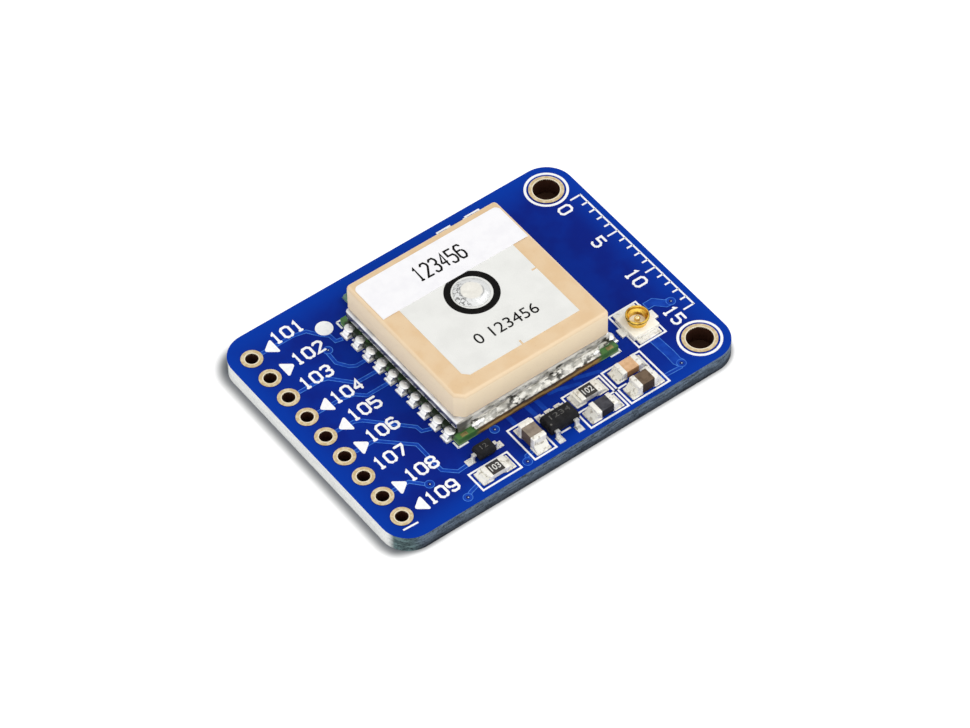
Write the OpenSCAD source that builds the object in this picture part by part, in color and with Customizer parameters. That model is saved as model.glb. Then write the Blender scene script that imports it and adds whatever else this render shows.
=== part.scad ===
// Satellite receiver breakout: a castellated receiver module with a ceramic patch antenna on a
// small two-layer board, with its supply parts, a coax antenna socket and a row of header holes.
// Millimetres. X runs along the long side, Y along the header row, Z up from the board's underside.

/* [Board] */
// Length along X
board_l = 34.3; // [33.8:0.1:38]
// Width along Y
board_w = 25.4; // [25:0.1:30]
// Thickness of the laminate
board_t = 1.6; // [1:0.1:2.4]
// Radius of the four corners
board_r = 2.5; // [1:0.1:3]
// Thickness of the plating in the holes and of their rings
plating_t = 0.05; // [0.03:0.01:0.08]
// Thickness of a tinned land
land_t = 0.05; // [0.03:0.01:0.08]

/* [Header holes] */
// Holes in the row
header_count = 9; // [5:2:9]
// Spacing of the holes
header_pitch = 2.54; // [2:0.01:2.54]
// Free diameter of a hole
header_hole_d = 1.1; // [0.8:0.05:1.2]
// Diameter of a ring
header_ring_d = 1.85; // [1.6:0.05:2.2]
// Left edge of the board to the row
header_inset = 1.9; // [1.6:0.1:2.5]

/* [Mounting holes] */
// Free diameter of a hole
mount_hole_d = 2.3; // [2:0.1:2.6]
// Diameter of a ring
mount_ring_d = 3; // [2.9:0.1:3.4]
// Right edge of the board to the holes
mount_inset = 2.54; // [2:0.01:3]

/* [Receiver module] */
// Side of the square module board
module_s = 16; // [15.8:0.1:16.6]
// Thickness of the module board
module_t = 0.7; // [0.5:0.05:1]
// Module centre along X
module_x = 0.55; // [-0.5:0.05:0.8]
// Module centre along Y
module_y = 0.75; // [0.5:0.05:1]
// Castellations on each of the two sides
castell_count = 10; // [6:2:10]
// Spacing of the castellations
castell_pitch = 1.5; // [1.4:0.01:1.55]
// Diameter of a half-round castellation
castell_d = 0.84; // [0.6:0.02:0.9]
// Width of a module land
pad_w = 0.95; // [0.8:0.05:1.1]
// Length of a module land outside the module
pad_out = 0.65; // [0.5:0.05:0.9]
// Length of a module land under the module
pad_in = 0.8; // [0.5:0.05:1]
// Rise of a solder joint above the module board
joint_cap_h = 0.12; // [0.05:0.01:0.2]

/* [Shield can] */
// Module edge to the can on the two castellated sides
can_side = 0.25; // [0.15:0.05:0.4]
// Module edge to the can in front
can_front = 0.6; // [0.4:0.05:0.8]
// Module edge to the can behind
can_back = 0.2; // [0.15:0.05:0.4]
// Can height
can_h = 1.15; // [1.1:0.05:1.6]
// Sheet thickness
can_t = 0.2; // [0.1:0.02:0.22]
// Corner radius
can_r = 0.4; // [0.3:0.05:0.8]
// Opening under the two castellated sides
can_gap = 0.5; // [0.3:0.05:0.7]
// Clearance of the openings round the solder joints
can_clear = 0.15; // [0.1:0.01:0.2]
// Corner of the can to the end of a solder bead
bead_end = 1.4; // [0.8:0.1:2.5]

/* [Patch antenna] */
// Edge of the can to the ceramic
antenna_in = 0.05; // [0.02:0.01:0.2]
// Antenna centre from the can centre along X
antenna_dx = 0.06; // [-0.1:0.01:0.1]
// Height of the ceramic
antenna_h = 2.6; // [2.2:0.1:4]
// Leg of the clipped corner that shows which way round the antenna is
antenna_clip = 0.7; // [0.5:0.05:1.4]
// Leg of the other three upright corners
antenna_corner = 0.3; // [0.1:0.05:0.4]
// Leg of the bevel round the top
antenna_edge = 0.45; // [0.2:0.05:0.6]
// Adhesive pad thickness
tape_t = 0.1; // [0.05:0.05:0.3]
// Silver on the underside
ground_t = 0.05; // [0.03:0.01:0.08]
// Side of the ceramic to the top electrode
electrode_in = 1.85; // [1.6:0.05:2.4]
// Electrode centre from the antenna centre along Y
electrode_dy = -0.3; // [-0.4:0.05:0]
// Thickness of the top electrode
electrode_t = 0.04; // [0.03:0.01:0.06]
// Clipped corner of the electrode
electrode_clip = 0.5; // [0.2:0.1:1]
// Feed from the antenna centre along Y
feed_dy = 0.75; // [0.4:0.05:1.2]
// Feed wire diameter
feed_d = 0.9; // [0.6:0.1:1.1]
// Feed wire clearance in the tape, the silver and the can
feed_gap = 0.4; // [0.2:0.05:0.6]
// Base diameter of the feed solder dome
dome_d = 3.2; // [2.6:0.1:3.4]
// Flat diameter on top of the dome
dome_flat_d = 1.8; // [1.2:0.1:2.2]
// Height of the dome
dome_h = 0.32; // [0.2:0.02:0.5]
// Side of the ceramic to the ends of the label
label_in = 0.4; // [0.4:0.05:1.5]
// Back of the ceramic to the label
label_back = 0.65; // [0.5:0.05:0.8]
// Label along Y
label_w = 4.1; // [3.5:0.1:4.3]
// Label thickness
label_t = 0.1; // [0.08:0.01:0.14]

/* [Coax socket] */
// Module lands to the socket's tab
coax_gap = 0.45; // [0.3:0.05:0.6]
// Front edge of the board to the socket centre
coax_front = 6.75; // [6.5:0.05:7.2]
// Side of the insulator
coax_s = 2.6; // [2.4:0.1:2.8]
// Height of the insulator
coax_base_h = 0.45; // [0.4:0.05:0.6]
// Height of the strap buried in the insulator
strap_z = 0.2; // [0.16:0.02:0.24]
// Outer diameter of the barrel
barrel_d = 2; // [1.8:0.05:2.1]
// Wall of the barrel
barrel_t = 0.16; // [0.12:0.02:0.24]
// Height of the barrel's rim above its neck
rim_h = 0.45; // [0.4:0.05:0.6]
// How far the neck is drawn in below the rim, where a plug snaps on
neck_in = 0.18; // [0.16:0.01:0.22]
// Height of the barrel above its lands
barrel_h = 1.25; // [1:0.05:1.6]
// Diameter of the centre contact
coax_pin_d = 0.5; // [0.3:0.05:0.6]
// Height of the centre contact above its land
coax_pin_h = 0.95; // [0.7:0.05:1]
// Sheet thickness of the feet
foot_t = 0.12; // [0.08:0.02:0.16]
// Reach of a foot beyond the insulator
foot_l = 0.55; // [0.4:0.05:0.6]
// Width of the feet on the two long lands
foot_w = 2.2; // [1.6:0.1:2.3]
// Width of the two side tabs
tab_w = 0.9; // [0.6:0.05:1]

/* [Chips] */
// Length of a chip
chip_l = 2; // [1.8:0.05:2.1]
// Width of a chip
chip_w = 1.25; // [1.1:0.05:1.3]
// Length of a metal end cap
chip_end = 0.42; // [0.3:0.02:0.5]
// Skin of an end cap over the chip
chip_skin = 0.03; // [0.02:0.01:0.05]
// Height of a resistor
resistor_h = 0.5; // [0.4:0.05:0.7]
// Height of the large capacitor
cap_large_h = 1.25; // [0.9:0.05:1.4]
// Height of the grey capacitor
cap_grey_h = 0.85; // [0.6:0.05:1.1]
// Height of the tan capacitor
cap_tan_h = 0.75; // [0.6:0.05:1.1]
// Height of the brown capacitor
cap_brown_h = 1.1; // [0.8:0.05:1.3]
// Land length beyond the end of a chip
chip_land_out = 0.62; // [0.4:0.02:0.65]
// Land length under the end of a chip
chip_land_in = 0.5; // [0.3:0.02:0.6]
// Height of the indicator's base
led_base_h = 0.35; // [0.25:0.05:0.5]
// Height of the indicator's lens
led_lens_h = 0.6; // [0.4:0.05:0.8]
// End of the indicator to its lens
led_lens_in = 0.05; // [0.02:0.01:0.1]
// Corner radius of the indicator's lens
led_lens_r = 0.5; // [0.3:0.05:0.6]
// Land length beyond the end of the indicator
led_land_out = 0.1; // [0.06:0.02:0.3]

/* [Leaded parts] */
// Regulator body along X
reg_l = 2.9; // [2.7:0.05:3]
// Regulator body along Y
reg_w = 1.6; // [1.5:0.05:1.7]
// Regulator body height
reg_h = 1.1; // [0.9:0.05:1.3]
// Spacing of the regulator leads
reg_pitch = 0.95; // [0.9:0.01:1]
// Width of a regulator lead
reg_lead_w = 0.4; // [0.3:0.05:0.5]
// Diode body along X
diode_l = 1.7; // [1.6:0.05:1.8]
// Diode body along Y
diode_w = 1.2; // [1.1:0.05:1.3]
// Diode body height
diode_h = 0.95; // [0.8:0.05:1.1]
// Width of a diode lead
diode_lead_w = 0.35; // [0.25:0.05:0.45]
// Lead thickness
lead_t = 0.14; // [0.1:0.02:0.18]
// Level part of a lead beside its body
lead_arm = 0.18; // [0.1:0.02:0.2]
// Foot of a lead on its land
lead_foot = 0.32; // [0.2:0.02:0.4]
// Mould draft of a black body
body_draft = 0.12; // [0.05:0.01:0.18]
// Gap under a black body
body_gap = 0.06; // [0.02:0.01:0.12]

/* [Inside the can] */
// Side of the receiver chip
receiver_s = 5; // [4:0.1:5.5]
// Height of the receiver chip
receiver_h = 0.75; // [0.5:0.05:0.8]
// Length of the amplifier
amplifier_l = 1.5; // [1:0.1:2]
// Width of the amplifier
amplifier_w = 1.2; // [1:0.1:1.5]
// Height of the amplifier
amplifier_h = 0.55; // [0.4:0.05:0.8]
// Length of the filter
filter_l = 1.4; // [1:0.1:1.6]
// Width of the filter
filter_w = 1.1; // [0.9:0.1:1.3]
// Height of the filter
filter_h = 0.6; // [0.4:0.05:0.8]
// Length of the crystal
crystal_l = 2.5; // [2:0.1:3.2]
// Width of the crystal
crystal_w = 2; // [1.6:0.1:2.5]
// Height of the crystal
crystal_h = 0.75; // [0.5:0.05:0.8]
// Length of a small chip
small_l = 1; // [0.6:0.1:1.2]
// Width of a small chip
small_w = 0.5; // [0.3:0.05:0.6]
// Height of a small chip
small_h = 0.45; // [0.3:0.05:0.6]

/* [Layout] */
// Regulator centre along X
reg_x = 0.25; // [0:0.05:0.4]
// Front edge of the board to the regulator centre
reg_front = 2.42; // [2.3:0.02:2.6]
// Diode centre along X
diode_x = -6.35; // [-6.6:0.05:-6]
// Front edge of the board to the diode centre
diode_front = 3.62; // [3.5:0.02:3.7]
// Pull-up resistor centre along X
pull_up_x = -6.72; // [-7:0.02:-6.4]
// Front edge of the board to the pull-up resistor centre
pull_up_front = 1.7; // [1.5:0.05:1.8]
// Large capacitor centre along X
cap_large_x = -2.46; // [-2.8:0.02:-2.4]
// Front edge of the board to the large capacitor centre
cap_large_front = 2.44; // [2.2:0.02:2.5]
// Inner pair of chips, centre along X
pair_in_x = 3.86; // [3.8:0.02:3.9]
// Outer pair of chips, centre along X
pair_out_x = 7.97; // [7.9:0.02:8.4]
// Front edge of the board to the front row of the pairs
row_front = 1.4; // [1.2:0.05:1.5]
// Front row to the back row of the pairs
row_pitch = 2.02; // [1.9:0.02:2.1]
// Indicator centre along X
led_x = -4.6; // [-5.2:0.05:-4]
// Back edge of the module to the indicator
led_gap = 0.875; // [0.6:0.025:1.2]
// Series resistor centre along X
series_x = 6.3; // [5.8:0.05:6.5]
// Back edge of the board to the series resistor centre
series_back = 1.9; // [1.4:0.02:2]

/* [Hidden] */
$fn = 48;
seat_z = board_t + land_t;
module_top = seat_z + module_t;
can_top = module_top + can_h;
tape_top = can_top + tape_t;
ceramic_z = tape_top + ground_t;
ceramic_top = ceramic_z + antenna_h;
electrode_top = ceramic_top + electrode_t;

header_x = -board_l / 2 + header_inset;
mount_x = board_l / 2 - mount_inset;
front_y = -board_w / 2;
back_y = board_w / 2;
// The mounting holes line up with the two ends of the header row
mount_pitch = (header_count - 1) * header_pitch;

castell_span = (castell_count - 1) * castell_pitch + castell_d;
side_cut = castell_d + 2 * (can_clear + can_t);
can_l = module_s - 2 * can_side;
can_w = module_s - can_front - can_back;
can_x = module_x;
can_y = module_y + (can_front - can_back) / 2;
antenna_s = can_w - 2 * antenna_in;
antenna_x = can_x + antenna_dx;
antenna_y = can_y;
feed_y = antenna_y + feed_dy;
electrode_s = antenna_s - 2 * electrode_in;
electrode_y = antenna_y + electrode_dy;
label_l = antenna_s - 2 * label_in;
label_y = antenna_y + antenna_s / 2 - label_back - label_w / 2;
coax_x = module_x + module_s / 2 + pad_out + coax_gap + foot_l + coax_s / 2;
coax_y = front_y + coax_front;
barrel_r = barrel_d / 2;
pin_r = coax_pin_d / 2;

// Chips: centre along X and Y, and turned 90 degrees or not
row_low = front_y + row_front;
row_high = row_low + row_pitch;
pull_up_spot = [pull_up_x, front_y + pull_up_front, 0];
pair_resistor_spot = [pair_in_x, row_high, 0];
series_spot = [series_x, back_y - series_back, 0];
resistor_spots = [pull_up_spot, pair_resistor_spot, series_spot];
cap_large_spot = [cap_large_x, front_y + cap_large_front, 90];
cap_grey_spot = [pair_in_x, row_low, 0];
cap_tan_spot = [pair_out_x, row_high, 0];
cap_brown_spot = [pair_out_x, row_low, 0];
led_spot = [led_x, module_y + module_s / 2 + led_gap + chip_w / 2, 0];
reg_spot = [reg_x, front_y + reg_front, 0];
diode_spot = [diode_x, front_y + diode_front, 0];
chip_list = concat(
    [for (s = resistor_spots) [s, resistor_h]],
    [[cap_large_spot, cap_large_h], [cap_grey_spot, cap_grey_h]],
    [[cap_tan_spot, cap_tan_h], [cap_brown_spot, cap_brown_h]]
);
cap_list = [
    [cap_large_spot, cap_large_h],
    [cap_grey_spot, cap_grey_h],
    [cap_tan_spot, cap_tan_h],
    [cap_brown_spot, cap_brown_h]
];
lead_reach = lead_arm + lead_t + lead_foot;
reg_slots = [[-1, 1], [0, 1], [1, 1], [-1, -1], [1, -1]];
reg_land_w = 1.5 * reg_lead_w;
diode_land_w = 1.8 * diode_lead_w;
lead_land_out = 2 * lead_t;

function header_y(i) = (i - (header_count - 1) / 2) * header_pitch;
function castell_y(i) = module_y + (i - (castell_count - 1) / 2) * castell_pitch;

// Upright plate with four round corners, centred, standing on z = 0
module round_plate(l, w, h, r) {
    translate([-l / 2 + r, -w / 2, 0])
        cube([l - 2 * r, w, h]);
    translate([-l / 2, -w / 2 + r, 0])
        cube([l, w - 2 * r, h]);
    for (sx = [-1, 1])
        for (sy = [-1, 1])
            translate([sx * (l / 2 - r), sy * (w / 2 - r), 0])
                cylinder(h = h, r = r);
}

// Box centred in X and Y, standing on z = 0
module block(l, w, h) {
    translate([-l / 2, -w / 2, 0])
        cube([l, w, h]);
}

// Plated barrel with a ring on each face, the lower one let into the board
module eyelet(hole_d, ring_d) {
    difference() {
        union() {
            cylinder(h = board_t, d = hole_d + 2 * plating_t);
            cylinder(h = plating_t, d = ring_d);
            translate([0, 0, board_t])
                cylinder(h = plating_t, d = ring_d);
        }
        translate([0, 0, -board_t])
            cylinder(h = 3 * board_t, d = hole_d);
    }
}

// Room in the board for an eyelet
module eyelet_room(hole_d, ring_d) {
    translate([0, 0, -board_t])
        cylinder(h = 3 * board_t, d = hole_d + 2 * plating_t);
    translate([0, 0, -board_t])
        cylinder(h = board_t + plating_t, d = ring_d);
}

module at_header() {
    for (i = [0 : header_count - 1])
        translate([header_x, header_y(i), 0])
            children();
}

module at_mounts() {
    for (s = [-1, 1])
        translate([mount_x, s * mount_pitch / 2, 0])
            children();
}

// Puts its child at every castellation, with +X pointing away from the module
module at_castellations() {
    for (side = [0, 1])
        for (i = [0 : castell_count - 1])
            translate([module_x + (side == 0 ? -1 : 1) * module_s / 2, castell_y(i), 0])
                rotate(side == 0 ? 180 : 0)
                    children();
}

// Puts its child at a chip's place, turned with the chip
module at_spot(s) {
    translate([s[0], s[1], 0])
        rotate(s[2])
            children();
}

// Puts its child at both ends of a chip, with +X pointing outwards
module at_ends(l) {
    for (a = [0, 180])
        rotate(a)
            translate([l / 2, 0, 0])
                children();
}

// Black moulded body: drafted above and below a level band where the leads come out
module moulded(l, w, h) {
    band_z = h / 2;
    intersection() {
        translate([0, w / 2, 0])
            rotate([90, 0, 0])
                linear_extrude(w)
                    drafted(l, h, band_z);
        translate([-l / 2, 0, 0])
            rotate([90, 0, 90])
                linear_extrude(l)
                    drafted(w, h, band_z);
    }
}

// Outline of a drafted body in its own upright plane
module drafted(l, h, band_z) {
    polygon([
        [-l / 2 + body_draft, 0],
        [l / 2 - body_draft, 0],
        [l / 2, band_z - lead_t / 2],
        [l / 2, band_z + lead_t / 2],
        [l / 2 - body_draft, h],
        [-l / 2 + body_draft, h],
        [-l / 2, band_z + lead_t / 2],
        [-l / 2, band_z - lead_t / 2]
    ]);
}

// Gull-wing lead that starts at x = 0 and runs along +X down to its land
module gull_lead(w, h) {
    arm_z = body_gap + h / 2;
    translate([0, w / 2, seat_z])
        rotate([90, 0, 0])
            linear_extrude(w)
                polygon([
                    [0, arm_z - lead_t / 2],
                    [lead_arm, arm_z - lead_t / 2],
                    [lead_arm, 0],
                    [lead_reach, 0],
                    [lead_reach, lead_t],
                    [lead_arm + lead_t, lead_t],
                    [lead_arm + lead_t, arm_z + lead_t / 2],
                    [0, arm_z + lead_t / 2]
                ]);
}

// Places of the five regulator leads, with +X pointing outwards
module at_reg_leads() {
    at_spot(reg_spot)
        for (k = reg_slots)
            translate([k[0] * reg_pitch, k[1] * reg_w / 2, 0])
                rotate(k[1] * 90)
                    children();
}

module at_diode_leads() {
    at_spot(diode_spot)
        at_ends(diode_l)
            children();
}

// Hollow solder fillet that climbs to height h against x = 0
module fillet(l, w, h) {
    toe = 0.1 * h;
    translate([0, w / 2, seat_z])
        rotate([90, 0, 0])
            linear_extrude(w)
                polygon([
                    [0, 0],
                    [l, 0],
                    [l, toe],
                    [0.45 * l, 0.3 * h],
                    [0.15 * l, 0.65 * h],
                    [0, h]
                ]);
}

// Ceramic part of a chip between its end caps
module chip_core(s, h) {
    at_spot(s)
        translate([0, 0, seat_z + chip_skin])
            block(chip_l - 2 * chip_end, chip_w - 2 * chip_skin, h - 2 * chip_skin);
}

// The two end caps of a chip
module chip_caps(s, h) {
    at_spot(s)
        at_ends(chip_l)
            translate([-chip_end / 2, 0, seat_z])
                block(chip_end, chip_w, h);
}

// Places its child on the module board, at a share of the module's side from its centre
module in_can(share_x, share_y) {
    translate([module_x + share_x * module_s, module_y + share_y * module_s, module_top])
        children();
}

module main_board() {
    color([0.04, 0.18, 0.6])
        difference() {
            round_plate(board_l, board_w, board_t, board_r);
            at_header()
                eyelet_room(header_hole_d, header_ring_d);
            at_mounts()
                eyelet_room(mount_hole_d, mount_ring_d);
        }
}

module header_eyelets() {
    color([0.84, 0.74, 0.52])
        at_header()
            eyelet(header_hole_d, header_ring_d);
}

module mount_eyelets() {
    color([0.84, 0.74, 0.52])
        at_mounts()
            eyelet(mount_hole_d, mount_ring_d);
}

// Tinned lands: modules and leads stand on them
module lands() {
    color([0.85, 0.85, 0.83])
        translate([0, 0, board_t]) {
            at_castellations()
                translate([(pad_out - pad_in) / 2, 0, 0])
                    block(pad_out + pad_in, pad_w, land_t);
            for (c = chip_list)
                at_spot(c[0])
                    at_ends(chip_l)
                        translate([(chip_land_out - chip_land_in) / 2, 0, 0])
                            block(chip_land_out + chip_land_in, chip_w, land_t);
            at_spot(led_spot)
                at_ends(chip_l)
                    translate([(led_land_out - chip_land_in) / 2, 0, 0])
                        block(led_land_out + chip_land_in, chip_w, land_t);
            at_reg_leads()
                translate([(lead_arm + lead_reach + lead_land_out) / 2, 0, 0])
                    block(lead_reach + lead_land_out - lead_arm, reg_land_w, land_t);
            at_diode_leads()
                translate([(lead_arm + lead_reach + lead_land_out) / 2, 0, 0])
                    block(lead_reach + lead_land_out - lead_arm, diode_land_w, land_t);
            translate([coax_x, coax_y, 0]) {
                for (a = [90, 270])
                    rotate(a)
                        translate([coax_s / 2 + foot_l / 2, 0, 0])
                            block(foot_l, foot_w, land_t);
                for (a = [0, 180])
                    rotate(a)
                        translate([coax_s / 2 + foot_l / 2, 0, 0])
                            block(foot_l, tab_w, land_t);
            }
        }
}

// Module board with a half-round plated notch at every castellation
module module_board() {
    color([0.12, 0.42, 0.18])
        difference() {
            translate([module_x, module_y, seat_z])
                block(module_s, module_s, module_t);
            at_castellations()
                cylinder(h = 2 * module_top, d = castell_d);
        }
}

// Each joint fills its notch, caps it and runs out on the land as a hollow foot
module module_joints() {
    color([0.9, 0.9, 0.88])
        at_castellations()
            module_joint();
}

module module_joint() {
    translate([0, 0, seat_z])
        cylinder(h = module_t, d = castell_d);
    translate([0, 0, module_top])
        cylinder(h = joint_cap_h, d1 = castell_d, d2 = castell_d * 0.5);
    fillet(pad_out, pad_w, module_t * 0.75);
}

module receiver_chip() {
    color([0.12, 0.12, 0.13])
        in_can(-0.23, -0.16)
            block(receiver_s, receiver_s, receiver_h);
}

module amplifier_chip() {
    color([0.15, 0.15, 0.16])
        in_can(0.2, 0.21)
            block(amplifier_l, amplifier_w, amplifier_h);
}

module rf_filter() {
    color([0.75, 0.72, 0.62])
        in_can(-0.04, 0.29)
            block(filter_l, filter_w, filter_h);
}

module crystal() {
    color([0.78, 0.78, 0.8])
        in_can(0.23, -0.2)
            round_plate(crystal_l, crystal_w, crystal_h, crystal_w * 0.15);
}

// Small chips round the receiver
module module_passives() {
    color([0.6, 0.5, 0.4])
        for (p = [[-0.31, 0.13], [-0.21, 0.13], [0.03, -0.3], [0.03, -0.19], [0.29, 0.01], [-0.21, 0.3]])
            in_can(p[0], p[1])
                block(small_l, small_w, small_h);
}

// Thin can, open below, with its two castellated sides cut clear of the solder joints
module shield_can() {
    color([0.72, 0.72, 0.7])
        translate([can_x, can_y, module_top])
            difference() {
                round_plate(can_l, can_w, can_h, can_r);
                translate([0, 0, -can_t])
                    block(can_l - 2 * can_t, can_w - 2 * can_t, can_h);
                for (side = [-1, 1])
                    translate([side * module_s / 2, module_y - can_y, -can_t])
                        block(side_cut, castell_span + 2 * can_clear, can_gap + can_t);
                translate([antenna_x - can_x, feed_y - can_y, 0])
                    cylinder(h = 2 * can_h, d = feed_d + 2 * feed_gap);
            }
}

// Bead along the foot of the can's front wall and of its back wall
module can_solder() {
    color([0.9, 0.9, 0.88])
        translate([can_x, can_y, module_top - seat_z]) {
            translate([0, -can_w / 2, 0])
                rotate(-90)
                    fillet(0.8 * can_front, can_l - 2 * bead_end, can_h * 0.55);
            translate([0, can_w / 2, 0])
                rotate(90)
                    fillet(0.8 * can_back, can_l - 2 * bead_end, can_h * 0.55);
        }
}

module antenna_tape() {
    color([0.82, 0.82, 0.8])
        translate([antenna_x, antenna_y, can_top])
            difference() {
                block(antenna_s - antenna_clip, antenna_s - antenna_clip, tape_t);
                translate([0, feed_dy, -tape_t])
                    cylinder(h = 3 * tape_t, d = feed_d + 2 * feed_gap);
            }
}

module antenna_ground() {
    color([0.86, 0.86, 0.84])
        translate([antenna_x, antenna_y, tape_top])
            difference() {
                block(antenna_s - antenna_clip, antenna_s - antenna_clip, ground_t);
                translate([0, feed_dy, -ground_t])
                    cylinder(h = 3 * ground_t, d = feed_d + 2 * feed_gap);
            }
}

// Ceramic block with one clipped corner and a bevel all round its top
module patch_antenna() {
    half = antenna_s / 2;
    clipped = (antenna_s - antenna_clip) / sqrt(2);
    corner = (antenna_s - antenna_corner) / sqrt(2);
    color([0.88, 0.78, 0.64])
        translate([antenna_x, antenna_y, ceramic_z])
            difference() {
                intersection() {
                    bevelled_bar(half, half, 0);
                    bevelled_bar(half, half, 90);
                    bevelled_bar(clipped, corner, 45);
                    bevelled_bar(corner, corner, 135);
                }
                translate([0, feed_dy, -antenna_h])
                    cylinder(h = 3 * antenna_h, d = feed_d);
            }
}

// Long bar of the ceramic's section, from near on its left to far on its right, bevelled along its top edges
module bevelled_bar(near, far, angle) {
    rotate(angle)
        translate([0, antenna_s, 0])
            rotate([90, 0, 0])
                linear_extrude(2 * antenna_s)
                    polygon([
                        [-near, 0],
                        [far, 0],
                        [far, antenna_h - antenna_edge],
                        [far - antenna_edge, antenna_h],
                        [-near + antenna_edge, antenna_h],
                        [-near, antenna_h - antenna_edge]
                    ]);
}

// Silver plate with one clipped corner and two trimming nicks
module antenna_electrode() {
    color([0.92, 0.92, 0.9])
        translate([antenna_x, electrode_y, ceramic_top])
            difference() {
                linear_extrude(electrode_t)
                    electrode_outline();
                translate([0, feed_y - electrode_y, -electrode_t])
                    cylinder(h = 3 * electrode_t, d = feed_d);
            }
}

module electrode_outline() {
    e = electrode_s / 2;
    nick_w = 0.36 * electrode_clip;
    nick_d = 0.9 * electrode_clip;
    difference() {
        polygon([
            [-e + electrode_clip, -e],
            [e, -e],
            [e, e],
            [-e, e],
            [-e, -e + electrode_clip]
        ]);
        translate([0, -e])
            square([nick_w, 2 * nick_d], center = true);
        translate([e, 0])
            square([2 * nick_d, nick_w], center = true);
    }
}

// Wire from the module board through the can and the ceramic to the electrode
module feed_pin() {
    color([0.85, 0.85, 0.83])
        translate([antenna_x, feed_y, module_top])
            cylinder(h = electrode_top - module_top, d = feed_d);
}

module feed_solder() {
    flat_r = dome_flat_d / 2;
    base_r = dome_d / 2;
    color([0.93, 0.93, 0.92])
        translate([antenna_x, feed_y, electrode_top])
            rotate_extrude()
                polygon([
                    [0, 0],
                    [base_r, 0],
                    [base_r * 0.96, dome_h * 0.35],
                    [(base_r + flat_r) * 0.52, dome_h * 0.75],
                    [flat_r, dome_h],
                    [0, dome_h]
                ]);
}

// Paper strip that lies on the ceramic and over the back of the electrode
module antenna_label() {
    color([0.97, 0.97, 0.97])
        difference() {
            translate([antenna_x, label_y, ceramic_top])
                block(label_l, label_w, label_t);
            translate([antenna_x, electrode_y, ceramic_top - label_t])
                block(electrode_s, electrode_s, label_t + electrode_t);
        }
}

// Insulator moulded round the shell's strap and the centre contact's tab
module coax_base() {
    color([0.93, 0.9, 0.82])
        translate([coax_x, coax_y, seat_z])
            difference() {
                block(coax_s, coax_s, coax_base_h);
                translate([0, 0, -coax_base_h])
                    cylinder(h = 3 * coax_base_h, d = coax_pin_d);
                translate([-coax_s / 2, 0, -coax_base_h])
                    block(coax_s, tab_w, coax_base_h + foot_t);
                shell_metal();
            }
}

module coax_shell() {
    color([0.85, 0.62, 0.2])
        translate([coax_x, coax_y, seat_z])
            shell_metal();
}

// Barrel on a strap that folds down the insulator's sides to three feet
module shell_metal() {
    difference() {
        union() {
            barrel_form(barrel_r, strap_z, barrel_h);
            for (a = [90, 270])
                rotate(a)
                    shell_leg(0.7 * coax_s, foot_w);
            shell_leg(tab_w, tab_w);
        }
        barrel_form(barrel_r - barrel_t, 0, 2 * barrel_h);
    }
}

// Round form with a wider rim on a neck, so that two of them leave a wall of formed sheet
module barrel_form(rim_r, low, high) {
    neck_top = barrel_h - rim_h;
    neck_r = rim_r - neck_in;
    rotate_extrude()
        polygon([
            [0, low],
            [neck_r, low],
            [neck_r, neck_top],
            [rim_r, neck_top + neck_in],
            [rim_r, high],
            [0, high]
        ]);
}

// Strap along +X through the insulator, down its side and out on a land
module shell_leg(strap, foot) {
    translate([0, -strap / 2, strap_z])
        cube([coax_s / 2 + foot_t, strap, foot_t]);
    translate([coax_s / 2, -strap / 2, 0])
        cube([foot_t, strap, strap_z + foot_t]);
    translate([coax_s / 2, -foot / 2, 0])
        cube([foot_l, foot, foot_t]);
}

module coax_pin() {
    color([0.85, 0.62, 0.2])
        translate([coax_x, coax_y, seat_z])
            union() {
                cylinder(h = coax_pin_h - pin_r, d = coax_pin_d);
                translate([0, 0, coax_pin_h - pin_r])
                    cylinder(h = pin_r, d1 = coax_pin_d, d2 = coax_pin_d * 0.4);
                translate([-coax_s / 2 - foot_l, -tab_w / 2, 0])
                    cube([coax_s / 2 + foot_l, tab_w, foot_t]);
            }
}

module regulator_body() {
    color([0.09, 0.09, 0.1])
        at_spot(reg_spot)
            translate([0, 0, seat_z + body_gap])
                moulded(reg_l, reg_w, reg_h);
}

module regulator_leads() {
    color([0.88, 0.88, 0.86])
        at_reg_leads()
            gull_lead(reg_lead_w, reg_h);
}

module diode_body() {
    color([0.1, 0.1, 0.11])
        at_spot(diode_spot)
            translate([0, 0, seat_z + body_gap])
                moulded(diode_l, diode_w, diode_h);
}

module diode_leads() {
    color([0.88, 0.88, 0.86])
        at_diode_leads()
            gull_lead(diode_lead_w, diode_h);
}

module resistor_bodies() {
    color([0.9, 0.89, 0.86])
        for (s = resistor_spots)
            chip_core(s, resistor_h);
}

// Black glaze on top of each resistor
module resistor_films() {
    color([0.07, 0.07, 0.07])
        for (s = resistor_spots)
            at_spot(s)
                translate([0, 0, seat_z + resistor_h - chip_skin])
                    block(chip_l - 2 * chip_end, chip_w - 4 * chip_skin, 2 * chip_skin);
}

module resistor_ends() {
    color([0.88, 0.88, 0.86])
        for (s = resistor_spots)
            chip_caps(s, resistor_h);
}

module capacitor_large() {
    color([0.5, 0.46, 0.42])
        chip_core(cap_large_spot, cap_large_h);
}

module capacitor_grey() {
    color([0.3, 0.3, 0.32])
        chip_core(cap_grey_spot, cap_grey_h);
}

module capacitor_tan() {
    color([0.8, 0.6, 0.42])
        chip_core(cap_tan_spot, cap_tan_h);
}

module capacitor_brown() {
    color([0.33, 0.26, 0.22])
        chip_core(cap_brown_spot, cap_brown_h);
}

module capacitor_ends() {
    color([0.88, 0.88, 0.86])
        for (c = cap_list)
            chip_caps(c[0], c[1]);
}

module led_base() {
    color([0.9, 0.9, 0.86])
        at_spot(led_spot)
            translate([0, 0, seat_z])
                block(chip_l - 2 * chip_end, chip_w, led_base_h);
}

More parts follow.
